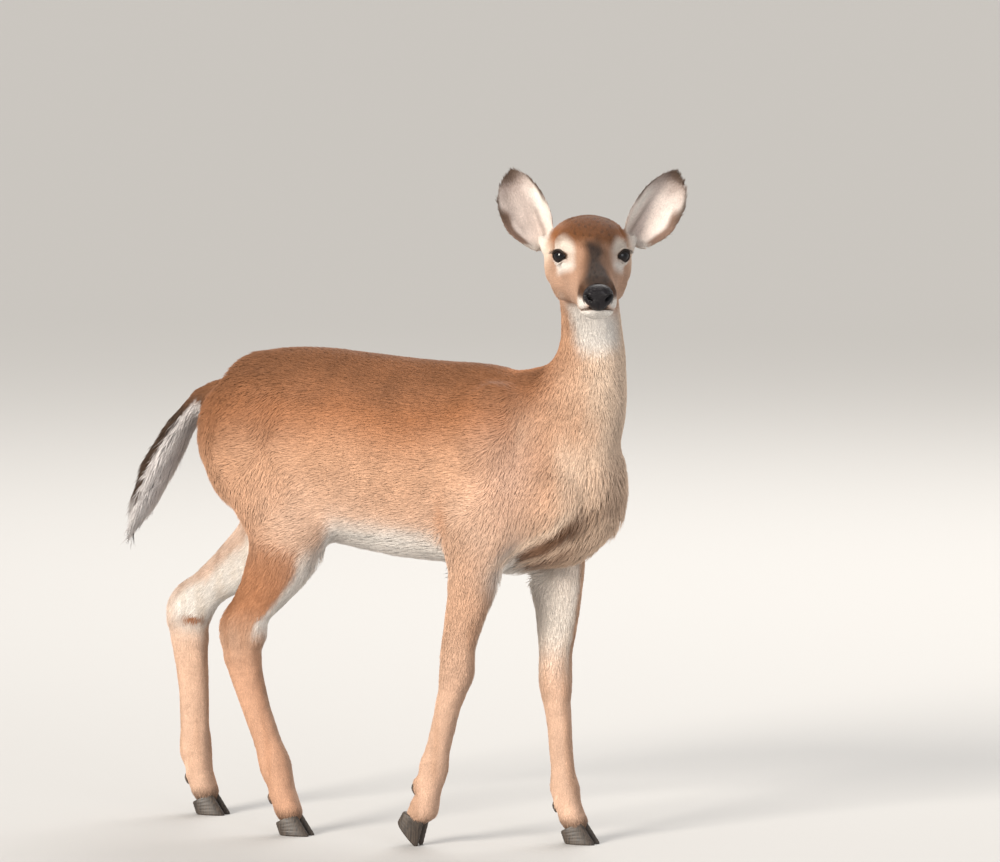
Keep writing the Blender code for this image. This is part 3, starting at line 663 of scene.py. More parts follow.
SINGLE = [
    (NECK, (0.36, -0.08, 1.02), (0.335, -0.03, 0.9), (0.25, 0.0, 0.845)),
    (NECK, (0.452, -0.11, 0.985), (0.446, -0.055, 0.9), (0.448, -0.01, 0.78), (0.44, 0.0, 0.7)),
    (NECK, (0.452, -0.01, 0.96), (0.42, 0.04, 0.84)),
    (NECK, (0.4, -0.12, 0.98), (0.39, -0.075, 0.85)),
    (BELLY, (0.445, 0.0, 0.69), (0.415, 0.0, 0.59), (0.33, 0.0, 0.5)),
    (TAIL, (-0.37, 0.0, 0.83), (-0.44, 0.001, 0.78), (-0.505, 0.002, 0.66), (-0.56, 0.004, 0.55)),
]
IN_LEGS = [
    (UPPER, (0.268, 0.08, 0.55), (0.277, 0.081, 0.415), (0.274, 0.079, 0.285)),
    (LOWER, (0.274, 0.079, 0.285), (0.286, 0.077, 0.19), (0.296, 0.077, 0.096), (0.315, 0.077, 0.03)),
    (UPPER, (0.196, -0.083, 0.56), (0.18, -0.085, 0.425), (0.16, -0.083, 0.315)),
    (LOWER, (0.16, -0.083, 0.315), (0.135, -0.081, 0.222), (0.113, -0.08, 0.142), (0.095, -0.08, 0.05)),
    (UPPER, (-0.262, 0.076, 0.65), (-0.325, 0.086, 0.52), (-0.448, 0.081, 0.424), (-0.49, 0.079, 0.378)),
    (LOWER, (-0.49, 0.079, 0.378), (-0.481, 0.077, 0.24), (-0.476, 0.077, 0.118), (-0.455, 0.077, 0.03)),
    (UPPER, (-0.205, -0.076, 0.65), (-0.188, -0.086, 0.515), (-0.262, -0.08, 0.408), (-0.282, -0.077, 0.366)),
    (LOWER, (-0.282, -0.077, 0.366), (-0.262, -0.074, 0.24), (-0.217, -0.074, 0.124), (-0.188, -0.074, 0.03)),
]
IN_HEAD = [  # in the head's frame, each on both sides
    (HEAD, (0.15, 0.006, -0.03), (0.05, 0.01, 0.01), (-0.02, 0.016, 0.062), (-0.085, 0.022, 0.05)),
    (HEAD, (0.14, 0.026, -0.06), (0.05, 0.038, -0.04)),
    (HEAD, (0.04, 0.045, -0.045), (-0.06, 0.07, -0.04)),
    (HEAD, (0.02, 0.045, 0.024), (-0.055, 0.062, 0.03)),
    (HEAD, (0.13, 0.016, -0.096), (0.02, 0.026, -0.094), (-0.06, 0.04, -0.085)),
]


def stretches(chains, side=1):
    """Kind, start and end of each stretch of the chains, on one side."""
    way = (1, side, 1)
    return [(kind, np.array(a) * way, np.array(b) * way) for kind, *at in chains for a, b in zip(at, at[1:])]


def guide_lines():
    """Kinds, starts and ends of all the lines that the coat lies along, in the row frame."""
    lines = stretches(MIRRORED + SINGLE) + stretches(MIRRORED, -1) + stretches(IN_LEGS)
    lines = [(kind, BODY_ORIGIN + a, BODY_ORIGIN + b) for kind, a, b in lines]
    for side in (-1, 1):
        lines += [(kind, from_head(a), from_head(b)) for kind, a, b in stretches(IN_HEAD, side)]
        root, along, outer_way, _ = ear_axes(side)
        for across, spread in ((0.024, 0.1), (-0.014, -0.1)):
            a = root + along * 0.02 + outer_way * across * 0.7
            lines.append((EAR, from_head(a), from_head(a + (along + outer_way * spread) * 0.115)))
    return [np.array(part) for part in zip(*lines)]


def lie_of_coat(p, normal):
    """The way the hair lies at each point, along the surface, and the share that each kind of hair has there.

    Each guide line pulls with 1 / distance^5; a kind's share is the sum of its lines' pulls."""
    kinds, start, end = guide_lines()
    pull = np.zeros((len(kinds), len(p)))
    for k, (a, b) in enumerate(zip(start, end)):
        t = np.clip((p - a) @ (b - a) / ((b - a) @ (b - a)), 0.0, 1.0)
        pull[k] = 1.0 / (size(p - a - t[:, None] * (b - a)) + 0.006) ** 5
    share = np.stack([pull[kinds == kind].sum(0) for kind in range(8)], axis=1)
    share /= share.sum(1, keepdims=True)
    flow = unit(pull.T @ unit(end - start))
    return unit(flow - normal * dot(flow, normal)[:, None]), share


# Markings

RUST = np.array((0.335, 0.138, 0.06))
TAN = np.array((0.53, 0.305, 0.192))
PALE = np.array((0.62, 0.41, 0.298))
BROWN = np.array((0.19, 0.082, 0.038))
DARK = np.array((0.085, 0.05, 0.032))
CREAM = np.array((0.68, 0.52, 0.4))
BUFF = np.array((0.66, 0.475, 0.35))
WHITE = np.array((0.74, 0.69, 0.64))
GREY = np.array((0.12, 0.088, 0.076))
SKIN_DARK = np.array((0.03, 0.022, 0.02))


def trunk_tint(b, n):
    """Brown along the back, rusty tan sides, paler low flank, white under the belly and behind the thighs."""
    x, _, z = b.T
    high = (z - 0.52) / 0.36 + 0.03 * waves(b, 22.0, 3)
    under = ramp(-0.25, -0.8, n[:, 2]) * ramp(0.32, 0.05, high)
    c = layered(
        PALE,
        (TAN, ramp(0.08, 0.44, high)),
        (RUST * 1.02, ramp(0.38, 0.76, high)),
        (BROWN, ramp(0.66, 0.92, high) * 0.92),
        (TAN * (1.02, 0.9, 0.8), ramp(-0.14, -0.26, x) * ramp(0.72, 0.56, z) * 0.6),
        (BROWN, 0.6 * ramp(-0.22, -0.38, x) * ramp(0.25, 0.7, high)),
        (RUST * 1.2, 0.55 * spot(folded(b), (0.15, 0.105, 0.56), (0.016, 0.06, 0.055), 1.4)),  # elbow crease: darker rusty colour as painted shade
    )
    return mix(breast_tint(b, c), WHITE, under * ramp(0.3, 0.24, x))


def neck_tint(b, n, q):
    """Buff down the front, tan at the sides, brown along the nape, and a white bib under the chin."""
    x, _, z = b.T
    ahead = ramp(0.72, 0.92, z)[:, None]
    front = dot(n, unit(ahead * (0.85, -0.5, 0.1) + (1.0 - ahead) * (0.98, 0.05, 0.05))) + 0.07 * waves(b, 30.0, 5)
    bib = ramp(-0.19, -0.15, q[:, 2] + 0.006 * waves(b, 80.0, 6)) * ramp(-0.15, 0.3, front)
    c = layered(
        TAN,
        (BUFF, ramp(0.1, 0.7, front) * ramp(0.22, 0.36, x)),
        (BROWN * 1.3, ramp(-0.25, -0.8, front) * ramp(0.76, 0.86, z)),
        (RUST, ramp(0.7, 0.84, z) * ramp(0.38, 0.29, x) * 0.9),
        (CREAM, ramp(0.35, 0.9, front) * ramp(0.62, 0.8, z) * ramp(0.3, 0.38, x) * 0.85),
    )
    return mix(breast_tint(b, c), WHITE, bib * ramp(-0.1, -0.06, q[:, 0]))


def breast_tint(b, c):
    """A cream line rising from each armpit, and under it dark brown hair with tan streaks along the line, made darker
    still as painted shade low on the breast, on c.
    """
    x, s, z = folded(b).T
    under = 0.523 + 0.54 * (x - 0.25) + 0.6 * np.maximum(x - 0.362, 0.0) - z + 0.005 * waves(b, 60.0, 8)
    streak = waves(np.stack([0.22 * (0.87 * x + 0.5 * z), b[:, 1], 0.87 * z - 0.5 * x], axis=1), 150.0, 9)
    # dark: brown hair on the breast between the forelegs, deepened as painted shade
    dark = ramp(0.0, 0.014, under) * ramp(0.075, 0.03, under) * ramp(0.262, 0.29, x)
    dark = dark * (1.0 - 0.55 * ramp(0.375, 0.425, x)) * ramp(0.69, 0.61, z)
    line = bell(under, -0.004, 0.0085) * ramp(0.03, 0.055, s) * ramp(0.235, 0.255, x) * ramp(0.41, 0.38, x)
    return layered(
        c,
        (PALE * (0.98, 0.98, 1.04), 0.6 * blob(folded(b), (0.285, 0.11, 0.68), (0.06, 0.06, 0.08))),  # shoulder
        (mix(BROWN * 0.62, BUFF * 0.8, ramp(0.0, 0.8, streak)), dark * 0.92),
        (CREAM * 1.15, line * 0.95),
    )


def belly_tint(b):
    """White under the belly, buff further forward, and the breast's own markings."""
    return breast_tint(b, mix(WHITE, BUFF, ramp(0.24, 0.34, b[:, 0])))


def leg_tint(b, n):
    """Warm tan legs, cream inside the upper parts, a white streak down the thigh, and white tufts at the hocks."""
    x, y, z = b.T
    inner = -n[:, 1] * np.sign(y)
    hind = ramp(-0.02, -0.08, x)
    streak = waves(b * (1.0, 1.0, 0.1), 190.0, 11)
    flat = b * (1, 0, 1)
    patch = blob(flat, (-0.455, 0.0, 0.385), (0.05, 1.0, 0.034)) + blob(flat, (-0.258, 0.0, 0.376), (0.045, 1.0, 0.03))
    curl = blob(flat, (-0.47, 0.0, 0.366), (0.022, 1.0, 0.007)) + blob(flat, (-0.268, 0.0, 0.358), (0.022, 1.0, 0.007))
    c = layered(
        PALE * (0.93, 0.91, 0.9),
        (TAN, ramp(0.24, 0.5, z) * 0.7),
        (RUST * 1.05, hind * ramp(0.34, 0.43, z) * ramp(0.66, 0.52, z) * ramp(0.6, -0.2, inner) * 0.85),
        (TAN * (1.0, 0.9, 0.85), hind * ramp(0.38, 0.3, z) * ramp(0.3, -0.5, inner) * 0.6),
        (BROWN * 1.6, hind * ramp(0.34, 0.42, z) * ramp(0.45, -0.6, n[:, 0] - 0.3 * inner) * (0.62 + 0.25 * streak)),
        (WHITE * (1.06, 1.02, 0.98), ramp(-0.05, 0.45, inner) * ramp(0.27, 0.38, z) * (0.95 - 0.6 * hind)),
        (PALE * 1.08, ramp(0.35, 0.85, inner) * 0.6 * ramp(0.4, 0.3, z)),
        (WHITE * 0.95, hind * ramp(0.04, 0.34, n[:, 0] + 0.36 * inner + 0.06 * streak) * ramp(0.34, 0.39, z)),
        (WHITE, np.clip(1.5 * patch, 0, 1) * ramp(0.1, 0.6, inner + 0.25 * streak)),
        (RUST, np.clip(1.2 * curl, 0, 1) * ramp(0.2, 0.6, inner)),
    )
    c = mix(c, c * (0.86, 0.8, 0.74), ramp(0.15, 0.75, streak) * 0.6)
    return mix(c, DARK * 1.4, ramp(0.06, 0.035, z) * 0.8)


def tail_tint(b, n):
    """Black-brown on top, and white below and along both edges, with a white end. The white is dimmed and made bluish
    as painted shade.
    """
    back = n @ unit((-0.82, -0.12, 0.56)) + 0.08 * waves(b, 60.0, 15)
    return layered(
        # white, dimmed and bluish as painted shade
        WHITE * (0.84, 0.85, 0.9),
        (DARK * 0.6, ramp(-0.14, 0.22, back) * ramp(0.58, 0.63, b[:, 2])),
        (BROWN, ramp(0.75, 0.81, b[:, 2]) * ramp(-0.5, 0.2, back)),
    )


def head_tint(q):
    """Rusty dark brow, grey-brown bridge, tan cheeks, white round the eyes, on the muzzle's end and the chin."""
    m = folded(q)
    x, s, z = m.T
    ripple = waves(q, 110.0, 20)
    speck = ramp(0.2, 0.9, waves(q, 620.0, 21))
    crown = ramp(0.0, 0.03, z - 0.3 * np.clip(x, 0.0, 0.05) + 0.003 * ripple) * ramp(0.078, 0.064, s)
    wide = 0.0135 + 0.008 * ramp(0.06, 0.135, x)
    bridge = ramp(0.026, 0.052, x + 0.008 * ripple) * ramp(-0.064, -0.042, z)
    ring = np.sqrt(((s - 0.051) / 0.0225) ** 2 + (z / 0.0335) ** 2 + 0.5 * (s - 0.051) / 0.0225 * z / 0.0335)
    ring = ramp(1.14, 0.62, ring + 0.09 * ripple) * ramp(-0.022, -0.006, x) * ramp(0.072, 0.06, s)
    ring_tint = WHITE * mix(np.array((1.0, 0.98, 0.97)), (0.86, 0.8, 0.75), ramp(-0.01, 0.01, z))
    c = layered(
        mix(TAN, PALE, 0.45) * (0.72, 0.68, 0.66),
        (PALE * (0.74, 0.7, 0.68), ramp(0.0, -0.05, z) * 0.8),
        (RUST * (0.72, 0.64, 0.48), crown),
        (BROWN * 0.46, crown * ramp(0.062, 0.024, s + 0.006 * ripple) * (0.55 + 0.38 * speck)),
        (BROWN * 0.66, bridge * ramp(wide + 0.016, wide + 0.002, s + 0.004 * ripple) * 0.65),
        (GREY * 0.22, bridge * ramp(wide + 0.008, wide - 0.008, s + 0.003 * ripple) * (0.9 + 0.08 * speck)),
        (CREAM, spot(m, (-0.052, 0.08, 0.0), (0.026, 0.014, 0.03), 1.3) * 0.85),
        (ring_tint, ring * (0.62 + 0.38 * ramp(0.004, 0.014, np.abs(z)))),
    )
    for side in (-1, 1):
        level, u, v, far = lid_level(q, side)
        close = ramp(0.034, 0.026, far)
        corner = hill((u / EYE_WIDE - 1.24) / 0.22, (v / EYE_HIGH + 0.1) / 0.13)
        rear = hill((u / EYE_WIDE + 1.18) / 0.26, (v / EYE_HIGH - 0.22) / 0.12)
        c = mix(c, BROWN * 0.45, np.where(v > 0, ramp(1.16, 1.04, level), ramp(1.03, 0.99, level)) * close)
        c = mix(c, BROWN * 0.5, (0.7 * corner + 0.9 * rear) * close)
    line = z - mouth_height(x)
    return layered(
        c,
        (BROWN * 0.3, spot(m, (0.136, 0.029, -0.045), (0.016, 0.009, 0.013), 1.6) * 0.92),  # painted shade in the fold beside each nostril
        (WHITE * 0.92, spot(m, (0.14, 0.029, -0.066), (0.014, 0.01, 0.0078), 1.9)),  # upper lip
        (WHITE * 1.08, ramp(-0.0005, -0.003, line) * ramp(0.06, 0.105, x) * ramp(0.04, 0.03, s)),  # lower lip
        (WHITE * 0.94, ramp(-0.086, -0.096, z) * ramp(-0.08, -0.03, x) * ramp(0.056, 0.036, s)),  # chin
        (DARK, blob(m, (0.112, 0.03, -0.079), (0.008, 0.014, 0.006)) * 0.5),
        (SKIN_DARK, spot(m, (0.158, 0.0, -0.073), (0.014, 0.016, 0.005), 1.6)),
        (SKIN_DARK, ramp(0.09, 0.1, x) * bell(line, 0.0, 0.0014)),
    )


def ear_tint(q, n):
    """White fuzz inside with grey patches and a grey band of painted shade down the hollow, dark edges and tip, brown
    back with a paler root.
    """
    c = np.zeros_like(q)
    patch = ramp(-0.3, 0.7, waves(q * (1.0, 1.0, 0.5), 90.0, 31) + 0.3 * waves(q, 260.0, 32))
    ripple = 0.05 * waves(q, 140.0, 34)
    for side in (1, -1):
        root, along, outer_way, opening = ear_axes(side)
        t, across, face = (q - root) @ along / 0.15, (q - root) @ outer_way, n @ opening
        outer, inner = ear_halves(np.clip(t, 0, 1))
        u = across / np.where(across > 0, outer, inner)
        tip = np.maximum(ramp(0.8, 0.97, np.abs(u) + ripple) * ramp(0.3, 0.6, t), ramp(0.8, 0.94, t + 0.5 * ripple))
        inside = layered(
            WHITE * (1.06, 0.98, 0.97),
            (GREY * 2.4, patch * 0.45 * ramp(0.1, 0.35, t)),
            (GREY * 2.0, ramp(0.58, 0.92, t) * 0.65),
            # painted shade: a grey band down the ear's hollow
            (GREY * 1.3, bell(u, -0.22, 0.14) * ramp(0.75, 0.35, t) * 0.55),
            (WHITE * 1.12, bell(u, -0.65, 0.24) * ramp(0.75, 0.55, t) * 0.95),
            (WHITE, ramp(0.16, 0.04, t)),
            (BROWN * 0.8, ramp(0.66, 0.84, u + ripple) * ramp(0.66, 0.5, t) * ramp(0.02, 0.12, t) * 0.85),
            (DARK * 0.9, tip * 0.9),
        )
        rear = layered(
            GREY * 1.4,
            (BROWN * 1.25, 0.5 + 0.5 * waves(q, 60.0, 33)),
            (DARK, ramp(0.75, 1.0, t) * 0.6),
            (CREAM, ramp(0.22, 0.08, t) * ramp(-0.9, -0.2, face)),
        )
        mine = (q[:, 1] > 0) == (side > 0)
        c[mine] = mix(rear, inside, ramp(-0.25, 0.15, face))[mine]
    return c


def tint(p, n, share):
    """Colour of the coat at each point: the markings of each kind of hair, by its share."""
    b, q = p - BODY_ORIGIN, in_head(p)
    legs = leg_tint(b, n)
    parts = [trunk_tint(b, n), neck_tint(b, n, q), head_tint(q), ear_tint(q, n @ HEAD_AXES.T), tail_tint(b, n), legs,
             legs, belly_tint(b)]
    c = sum(part * share[:, [k]] for k, part in enumerate(parts))
    c = c * (1.0 + 0.07 * waves(p, 55.0, 40) + 0.05 * waves(p, 160.0, 41))[:, None]
    return np.clip(c, 0.004, 0.92)


# Tufts

STATIONS = {1: [0.42], 2: [0.3, 0.66], 3: [0.22, 0.48, 0.76]}  # where along a tuft its rings of points stand
SWELLS = {1: [1.0], 2: [1.0, 0.72], 3: [0.92, 1.0, 0.62]}  # how wide it is there
TUFT_MAP = 0.0028  # how much of the skin's map one tuft takes up
SKIN_PAINTED_SHADE, ROOT_PAINTED_SHADE, TIP_PAINTED_LIGHT = 0.92, 0.9, 1.05  # painted shade darkens the skin deep in the coat and each tuft's root; painted light lightens each tuft's tip
MOST_TRIANGLES = 199000  # in one piece of coat


def tufts(name, root, way, normal, length, width, height, low_tint, high_tint, uv, draw, rings=1):
    """Closed locks of hair. Each runs from a point under the skin along its way to a tip at the coat's height, by
    height * (1 - (1 - t)^1.7), and is a three-sided blade, widest before its middle."""
    across = unit(np.cross(normal, way))
    bend = draw.normal(0.0, 0.1, len(root))[:, None]

    def spine(t):
        """The middle of each tuft at a share t of its length."""
        rise = height * (1.0 - (1.0 - t) ** 1.7) - 0.0012 * (1.0 - t) ** 4
        return root + way * (length * t)[:, None] + normal * rise[:, None] + across * bend * (length * t * t)[:, None]

    points = [spine(0.0)[:, None]]
    for t, wide in zip(STATIONS[rings], SWELLS[rings]):
        c, half = spine(t), (width * wide * 0.5)[:, None]
        points.append(np.stack([c - across * half - normal * half * 0.25, c + across * half - normal * half * 0.25,
                                c + normal * half * 0.55], axis=1))
    points = np.concatenate(points + [spine(1.0)[:, None]], axis=1)
    faces = [(0, 2, 1), (0, 3, 2), (0, 1, 3)]
    last = 3 * rings - 2
    for a in range(1, last, 3):
        for i, j in ((0, 1), (1, 2), (2, 0)):
            faces += [(a + i, a + j, a + 3 + j), (a + i, a + 3 + j, a + 3 + i)]
    faces += [(last, last + 1, last + 3), (last + 1, last + 2, last + 3), (last + 2, last, last + 3)]
    tri = (np.array(faces) + (np.arange(len(root)) * points.shape[1])[:, None, None]).reshape(-1, 3)
    made = object_of(name, points.reshape(-1, 3), tri)
    levels = np.r_[0.0, np.repeat(STATIONS[rings], 3), 1.0]
    lean = np.r_[0.0, np.tile([-0.5, 0.5, 0.0], rings), 0.0]
    keep_tint(made.data, mix(low_tint[:, None], high_tint[:, None], levels).reshape(-1, 3))
    facing = unit(normal[:, None] + across[:, None] * lean[None, :, None]).reshape(-1, 3)
    made.data.normals_split_custom_set_from_vertices(facing)
    patch = (uv[:, None] + np.stack([lean, levels - 0.5], axis=1) * TUFT_MAP).reshape(-1, 2)
    keep_map(made.data, patch[tri.ravel()])
    return made


def keep_tint(mesh, colours):
    """Stores a colour for each point, for the materials to read."""
    store = mesh.color_attributes.new("tint", "FLOAT_COLOR", "POINT")
    store.data.foreach_set("color", np.c_[colours, np.ones(len(colours))].astype(np.float32).ravel())


def keep_map(mesh, uv):
    """Stores the map that the colours are laid out on, for each corner of each face."""
    layer = mesh.uv_layers.new(name="OFBake")
    layer.uv.foreach_set("vector", uv.astype(np.float32).ravel())


# Materials


def wire(tree, target, links):
    """Feeds each of a node's inputs by a socket, or sets it to a value."""
    for label, source in links.items():
        if isinstance(source, bpy.types.NodeSocket):
            tree.links.new(source, target.inputs[label])
        else:
            target.inputs[label].default_value = source


def node(tree, kind, links=(), **settings):
    """A new node with its settings and its inputs."""
    made = tree.nodes.new(kind)
    for key, value in settings.items():
        setattr(made, key, value)
    wire(tree, made, dict(links))
    return made


def object_place(tree):
    """Object coordinates."""
    return node(tree, "ShaderNodeTexCoord").outputs["Object"]


def noise(tree, vector, scale, detail):
    """A mask of soft noise."""
    return node(tree, "ShaderNodeTexNoise", {"Vector": vector, "Scale": scale, "Detail": detail}).outputs["Fac"]


def maths(tree, operation, a, b):
    """One step of arithmetic."""
    return node(tree, "ShaderNodeMath", {0: a, 1: b}, operation=operation).outputs[0]


def shades(tree, mask, low, high, start=0.0, end=1.0):
    """A colour that goes from low to high as a mask goes from start to end."""
    made = node(tree, "ShaderNodeValToRGB", {"Fac": mask})
    for stop, at, colour in zip(made.color_ramp.elements, (start, end), (low, high)):
        stop.position, stop.color = at, (*colour, 1.0)
    return made.outputs["Color"]


def squeezed(tree, vector, scale):
    """Coordinates scaled along each axis."""
    return node(tree, "ShaderNodeMapping", {"Vector": vector, "Scale": scale}).outputs["Vector"]


def group(name, inputs, outputs):
    """An empty shader node group with named inputs (name, kind, value) and outputs (name, kind)."""
    tree = bpy.data.node_groups.new(name, "ShaderNodeTree")
    for label, kind, value in inputs:
        socket = tree.interface.new_socket(label, in_out="INPUT", socket_type=kind)
        if value is not None:
            socket.default_value = value
    for label, kind in outputs:
        tree.interface.new_socket(label, in_out="OUTPUT", socket_type=kind)
    return tree, tree.nodes.new("NodeGroupInput"), tree.nodes.new("NodeGroupOutput")


def ticking_group():
    """Salt and pepper of single hairs over broad soft patches: two noises multiply a colour."""
    tree, here, out = group(
        "ticking",
        [("Color", "NodeSocketColor", None),
         ("Fine Scale", "NodeSocketFloat", 700.0), ("Fine", "NodeSocketFloat", 0.25),
         ("Broad Scale", "NodeSocketFloat", 18.0), ("Broad", "NodeSocketFloat", 0.12)],
        [("Color", "NodeSocketColor")],
    )
    place = object_place(tree)
    fine = noise(tree, place, here.outputs["Fine Scale"], 2.0)
    broad = noise(tree, place, here.outputs["Broad Scale"], 3.0)
    factors = []
    for mask, amount in ((fine, "Fine"), (broad, "Broad")):
        swing = maths(tree, "MULTIPLY", maths(tree, "SUBTRACT", mask, 0.5), 4.0)
        factors.append(maths(tree, "ADD", maths(tree, "MULTIPLY", swing, here.outputs[amount]), 1.0))
    factor = maths(tree, "MULTIPLY", *factors)
    scaled = node(tree, "ShaderNodeVectorMath", {0: here.outputs["Color"], "Scale": factor}, operation="SCALE")
    wire(tree, out, {"Color": scaled.outputs[0]})
    return tree


def grain_group():
    """Height of short hair: noise over the attribute grain, which is squeezed along the lie of the coat."""
    tree, here, out = group("hair_grain", [("Scale", "NodeSocketFloat", 900.0)], [("Height", "NodeSocketFloat")])
    grain = node(tree, "ShaderNodeAttribute", attribute_name="grain").outputs["Vector"]
    wire(tree, out, {"Height": noise(tree, grain, here.outputs["Scale"], 2.0)})
    return tree


def pebble_group():
    """Height and dark seams of bare wet leather: the distance to the edges of small cells."""
    tree, here, out = group(
        "pebbles", [("Scale", "NodeSocketFloat", 700.0)], [("Height", "NodeSocketFloat"), ("Seam", "NodeSocketFloat")])
    cells = node(tree, "ShaderNodeTexVoronoi", {"Vector": object_place(tree), "Scale": here.outputs["Scale"]},
                 feature="DISTANCE_TO_EDGE")
    seam = node(tree, "ShaderNodeMapRange", {"Value": cells.outputs["Distance"], "From Max": 0.16}).outputs["Result"]
    wire(tree, out, {"Height": seam, "Seam": seam})
    return tree


ticking, grain_height, pebbles = ticking_group(), grain_group(), pebble_group()


def new_material(name, roughness, specular, **constants):
    """A material with its shader, whose constant values are set on the shader's own sockets."""
    made = bpy.data.materials.new(name)
    made.use_nodes = True
    shader = made.node_tree.nodes["Principled BSDF"]
    shader.inputs["Roughness"].default_value = roughness
    shader.inputs["Specular IOR Level"].default_value = specular
    for label, value in constants.items():
        shader.inputs[label.replace("_", " ")].default_value = value
    return made, made.node_tree, shader


def stored_tint(tree):
    """The colour that keep_tint stored."""
    return node(tree, "ShaderNodeAttribute", attribute_name="tint").outputs["Color"]


def tinted(tree, shader, fine_scale, fine, broad_scale=16.0, broad=0.1):
    """Sets the stored tint, with ticking, as the shader's colour."""
    values = {"Color": stored_tint(tree), "Fine Scale": fine_scale, "Fine": fine, "Broad Scale": broad_scale,
              "Broad": broad}
    wire(tree, shader, {"Base Color": node(tree, "ShaderNodeGroup", values, node_tree=ticking).outputs["Color"]})


def bumped(tree, shader, height, strength, distance):
    """Raises the shader's surface by a height mask."""
    bump = node(tree, "ShaderNodeBump", {"Height": height, "Strength": strength, "Distance": distance})
    wire(tree, shader, {"Normal": bump.outputs["Normal"]})


def hair_material():
    """The tufts: the stored tint with ticking, soft and dull with a faint sheen."""
    made, tree, shader = new_material("deer_hair", 0.6, 0.16, Sheen_Weight=0.03, Sheen_Roughness=0.5)
    tinted(tree, shader, 420.0, 0.14)
    return made


def hide_material():
    """The skin under the tufts, with the same markings darkened as painted shade, and the grain of short flat hair."""
    made, tree, shader = new_material("deer_hide", 0.72, 0.14)
    tinted(tree, shader, 520.0, 0.22)
    grain = node(tree, "ShaderNodeGroup", {"Scale": 1500.0}, node_tree=grain_height)
    bumped(tree, shader, grain.outputs["Height"], 0.7, 0.0012)
    return made


def leather_material():
    """The nose pad: black, pebbled and moist."""
    made, tree, shader = new_material("nose_leather", 0.26, 0.22, Coat_Weight=0.1, Coat_Roughness=0.1)
    cells = node(tree, "ShaderNodeGroup", {"Scale": 620.0}, node_tree=pebbles)
    seams = {0: cells.outputs["Seam"], 6: (0.006, 0.005, 0.006, 1.0), 7: stored_tint(tree)}  # 6, 7: the two colours
    wire(tree, shader, {"Base Color": node(tree, "ShaderNodeMix", seams, data_type="RGBA").outputs[2]})
    bumped(tree, shader, cells.outputs["Height"], 0.55, 0.0006)
    return made


def eye_material():
    """The eyeball: the stored tint of iris and pupil under a clear wet cornea."""
    made, tree, shader = new_material("eye", 0.03, 0.32)
    tinted(tree, shader, 1400.0, 0.25, 120.0, 0.1)
    return made


def lid_material():
    """The bare dark rim of the lids, finely wrinkled and a little moist, and the lashes."""
    made, tree, shader = new_material("lid_rim", 0.4, 0.26)
    wrinkles = noise(tree, object_place(tree), 900.0, 3.0)
    wire(tree, shader, {"Base Color": shades(tree, wrinkles, (0.006, 0.005, 0.004), (0.026, 0.015, 0.01))})
    bumped(tree, shader, wrinkles, 0.3, 0.0005)
    return made


def horn_material():
    """Hooves: dark horn with streaks down it and growth rings round it."""
    made, tree, shader = new_material("horn", 0.45, 0.45)
    place = object_place(tree)
    streaks = noise(tree, squeezed(tree, place, (1.0, 1.0, 0.12)), 420.0, 4.0)
    rings = noise(tree, squeezed(tree, place, (0.15, 0.15, 1.0)), 300.0, 2.0)
    wire(tree, shader, {
        "Base Color": shades(tree, streaks, (0.018, 0.014, 0.012), (0.085, 0.062, 0.046), 0.3, 0.75),
        "Roughness": node(tree, "ShaderNodeMapRange", {"Value": streaks, "To Min": 0.32, "To Max": 0.62}).outputs[0],
    })
    bumped(tree, shader, rings, 0.35, 0.001)
    return made


# Pieces

SIDES = {1: "left", -1: "right"}


def settle(piece, material, slot, *nodes):
    """Gives a finished piece its material and its body, and hides the CAD nodes that it stands for. The slot is not
    used.
    """
    piece.data.materials.clear()
    piece.data.materials.append(material)
    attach(piece, "root")
    if nodes:
        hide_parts(*nodes)
    return piece


def unwrap(piece):
    """Lays the skin's surface out flat in islands, and gives the map corner by corner."""
    layer = piece.data.uv_layers.new(name="OFBake").name
    bpy.context.view_layer.objects.active = piece
    piece.select_set(True)
    bpy.ops.object.mode_set(mode="EDIT")
    bpy.ops.mesh.select_all(action="SELECT")
    bpy.ops.uv.smart_project(angle_limit=math.radians(66.0), island_margin=0.002)
    bpy.ops.object.mode_set(mode="OBJECT")
    uv = np.empty(len(piece.data.loops) * 2, np.float32)
    piece.data.uv_layers[layer].uv.foreach_get("vector", uv)
    return uv.reshape(-1, 3, 2).astype(float)


def eyeball(side):
    """A ball whose front bulges as a cornea, with a dark iris and a wide flat pupil in its colours."""
    centre, aim, front, up = eye_axes(side)
    p, tri = ball(56, 72)
    x, y, z = p.T
    bulge = 1.0 + 0.045 * bell(np.arccos(np.clip(z, -1, 1)), 0.0, 0.62)
    q = centre + (p[:, [2]] * aim + p[:, [0]] * front + p[:, [1]] * up) * (bulge * EYE_RADIUS)[:, None]
    made = closed(f"eyeball_{SIDES[side]}", from_head(q), tri)
    reach, spoke = np.hypot(x, y), np.arctan2(y, x)
    iris = mix(np.array((0.009, 0.004, 0.003)), (0.004, 0.003, 0.003), ramp(0.35, 0.8, reach))
    iris = iris * (1.0 + 0.35 * np.sin(spoke * 46.0) * np.sin(spoke * 17.0 + 1.0))[:, None]
    pupil = ramp(1.12, 0.92, np.hypot(x / 0.5, y / 0.26))
    edge = ramp(0.76, 0.9, reach)
    keep_tint(made.data, layered(iris, ((0.003, 0.003, 0.004), pupil), ((0.012, 0.008, 0.007), edge)))
    return made


def lid_edge(side, a, over):
    """Points on the edge of the opening at angle a, from the front corner over the top, at a height over the ball."""
    centre, aim, front, up = eye_axes(side)
    rear_corner = hill((np.mod(a, TURN) - np.pi + 0.12) / 0.24)
    u = EYE_WIDE * np.cos(a) * (1.0 + 0.16 * bell(np.mod(a + np.pi, TURN), np.pi, 0.24) + 0.08 * rear_corner)
    v = np.sin(a) * lid_height(u, np.sin(a) < 0)
    e = unit(aim + front * np.tan(u)[..., None] + up * np.tan(v)[..., None])
    return centre + e * (EYE_RADIUS + over), e


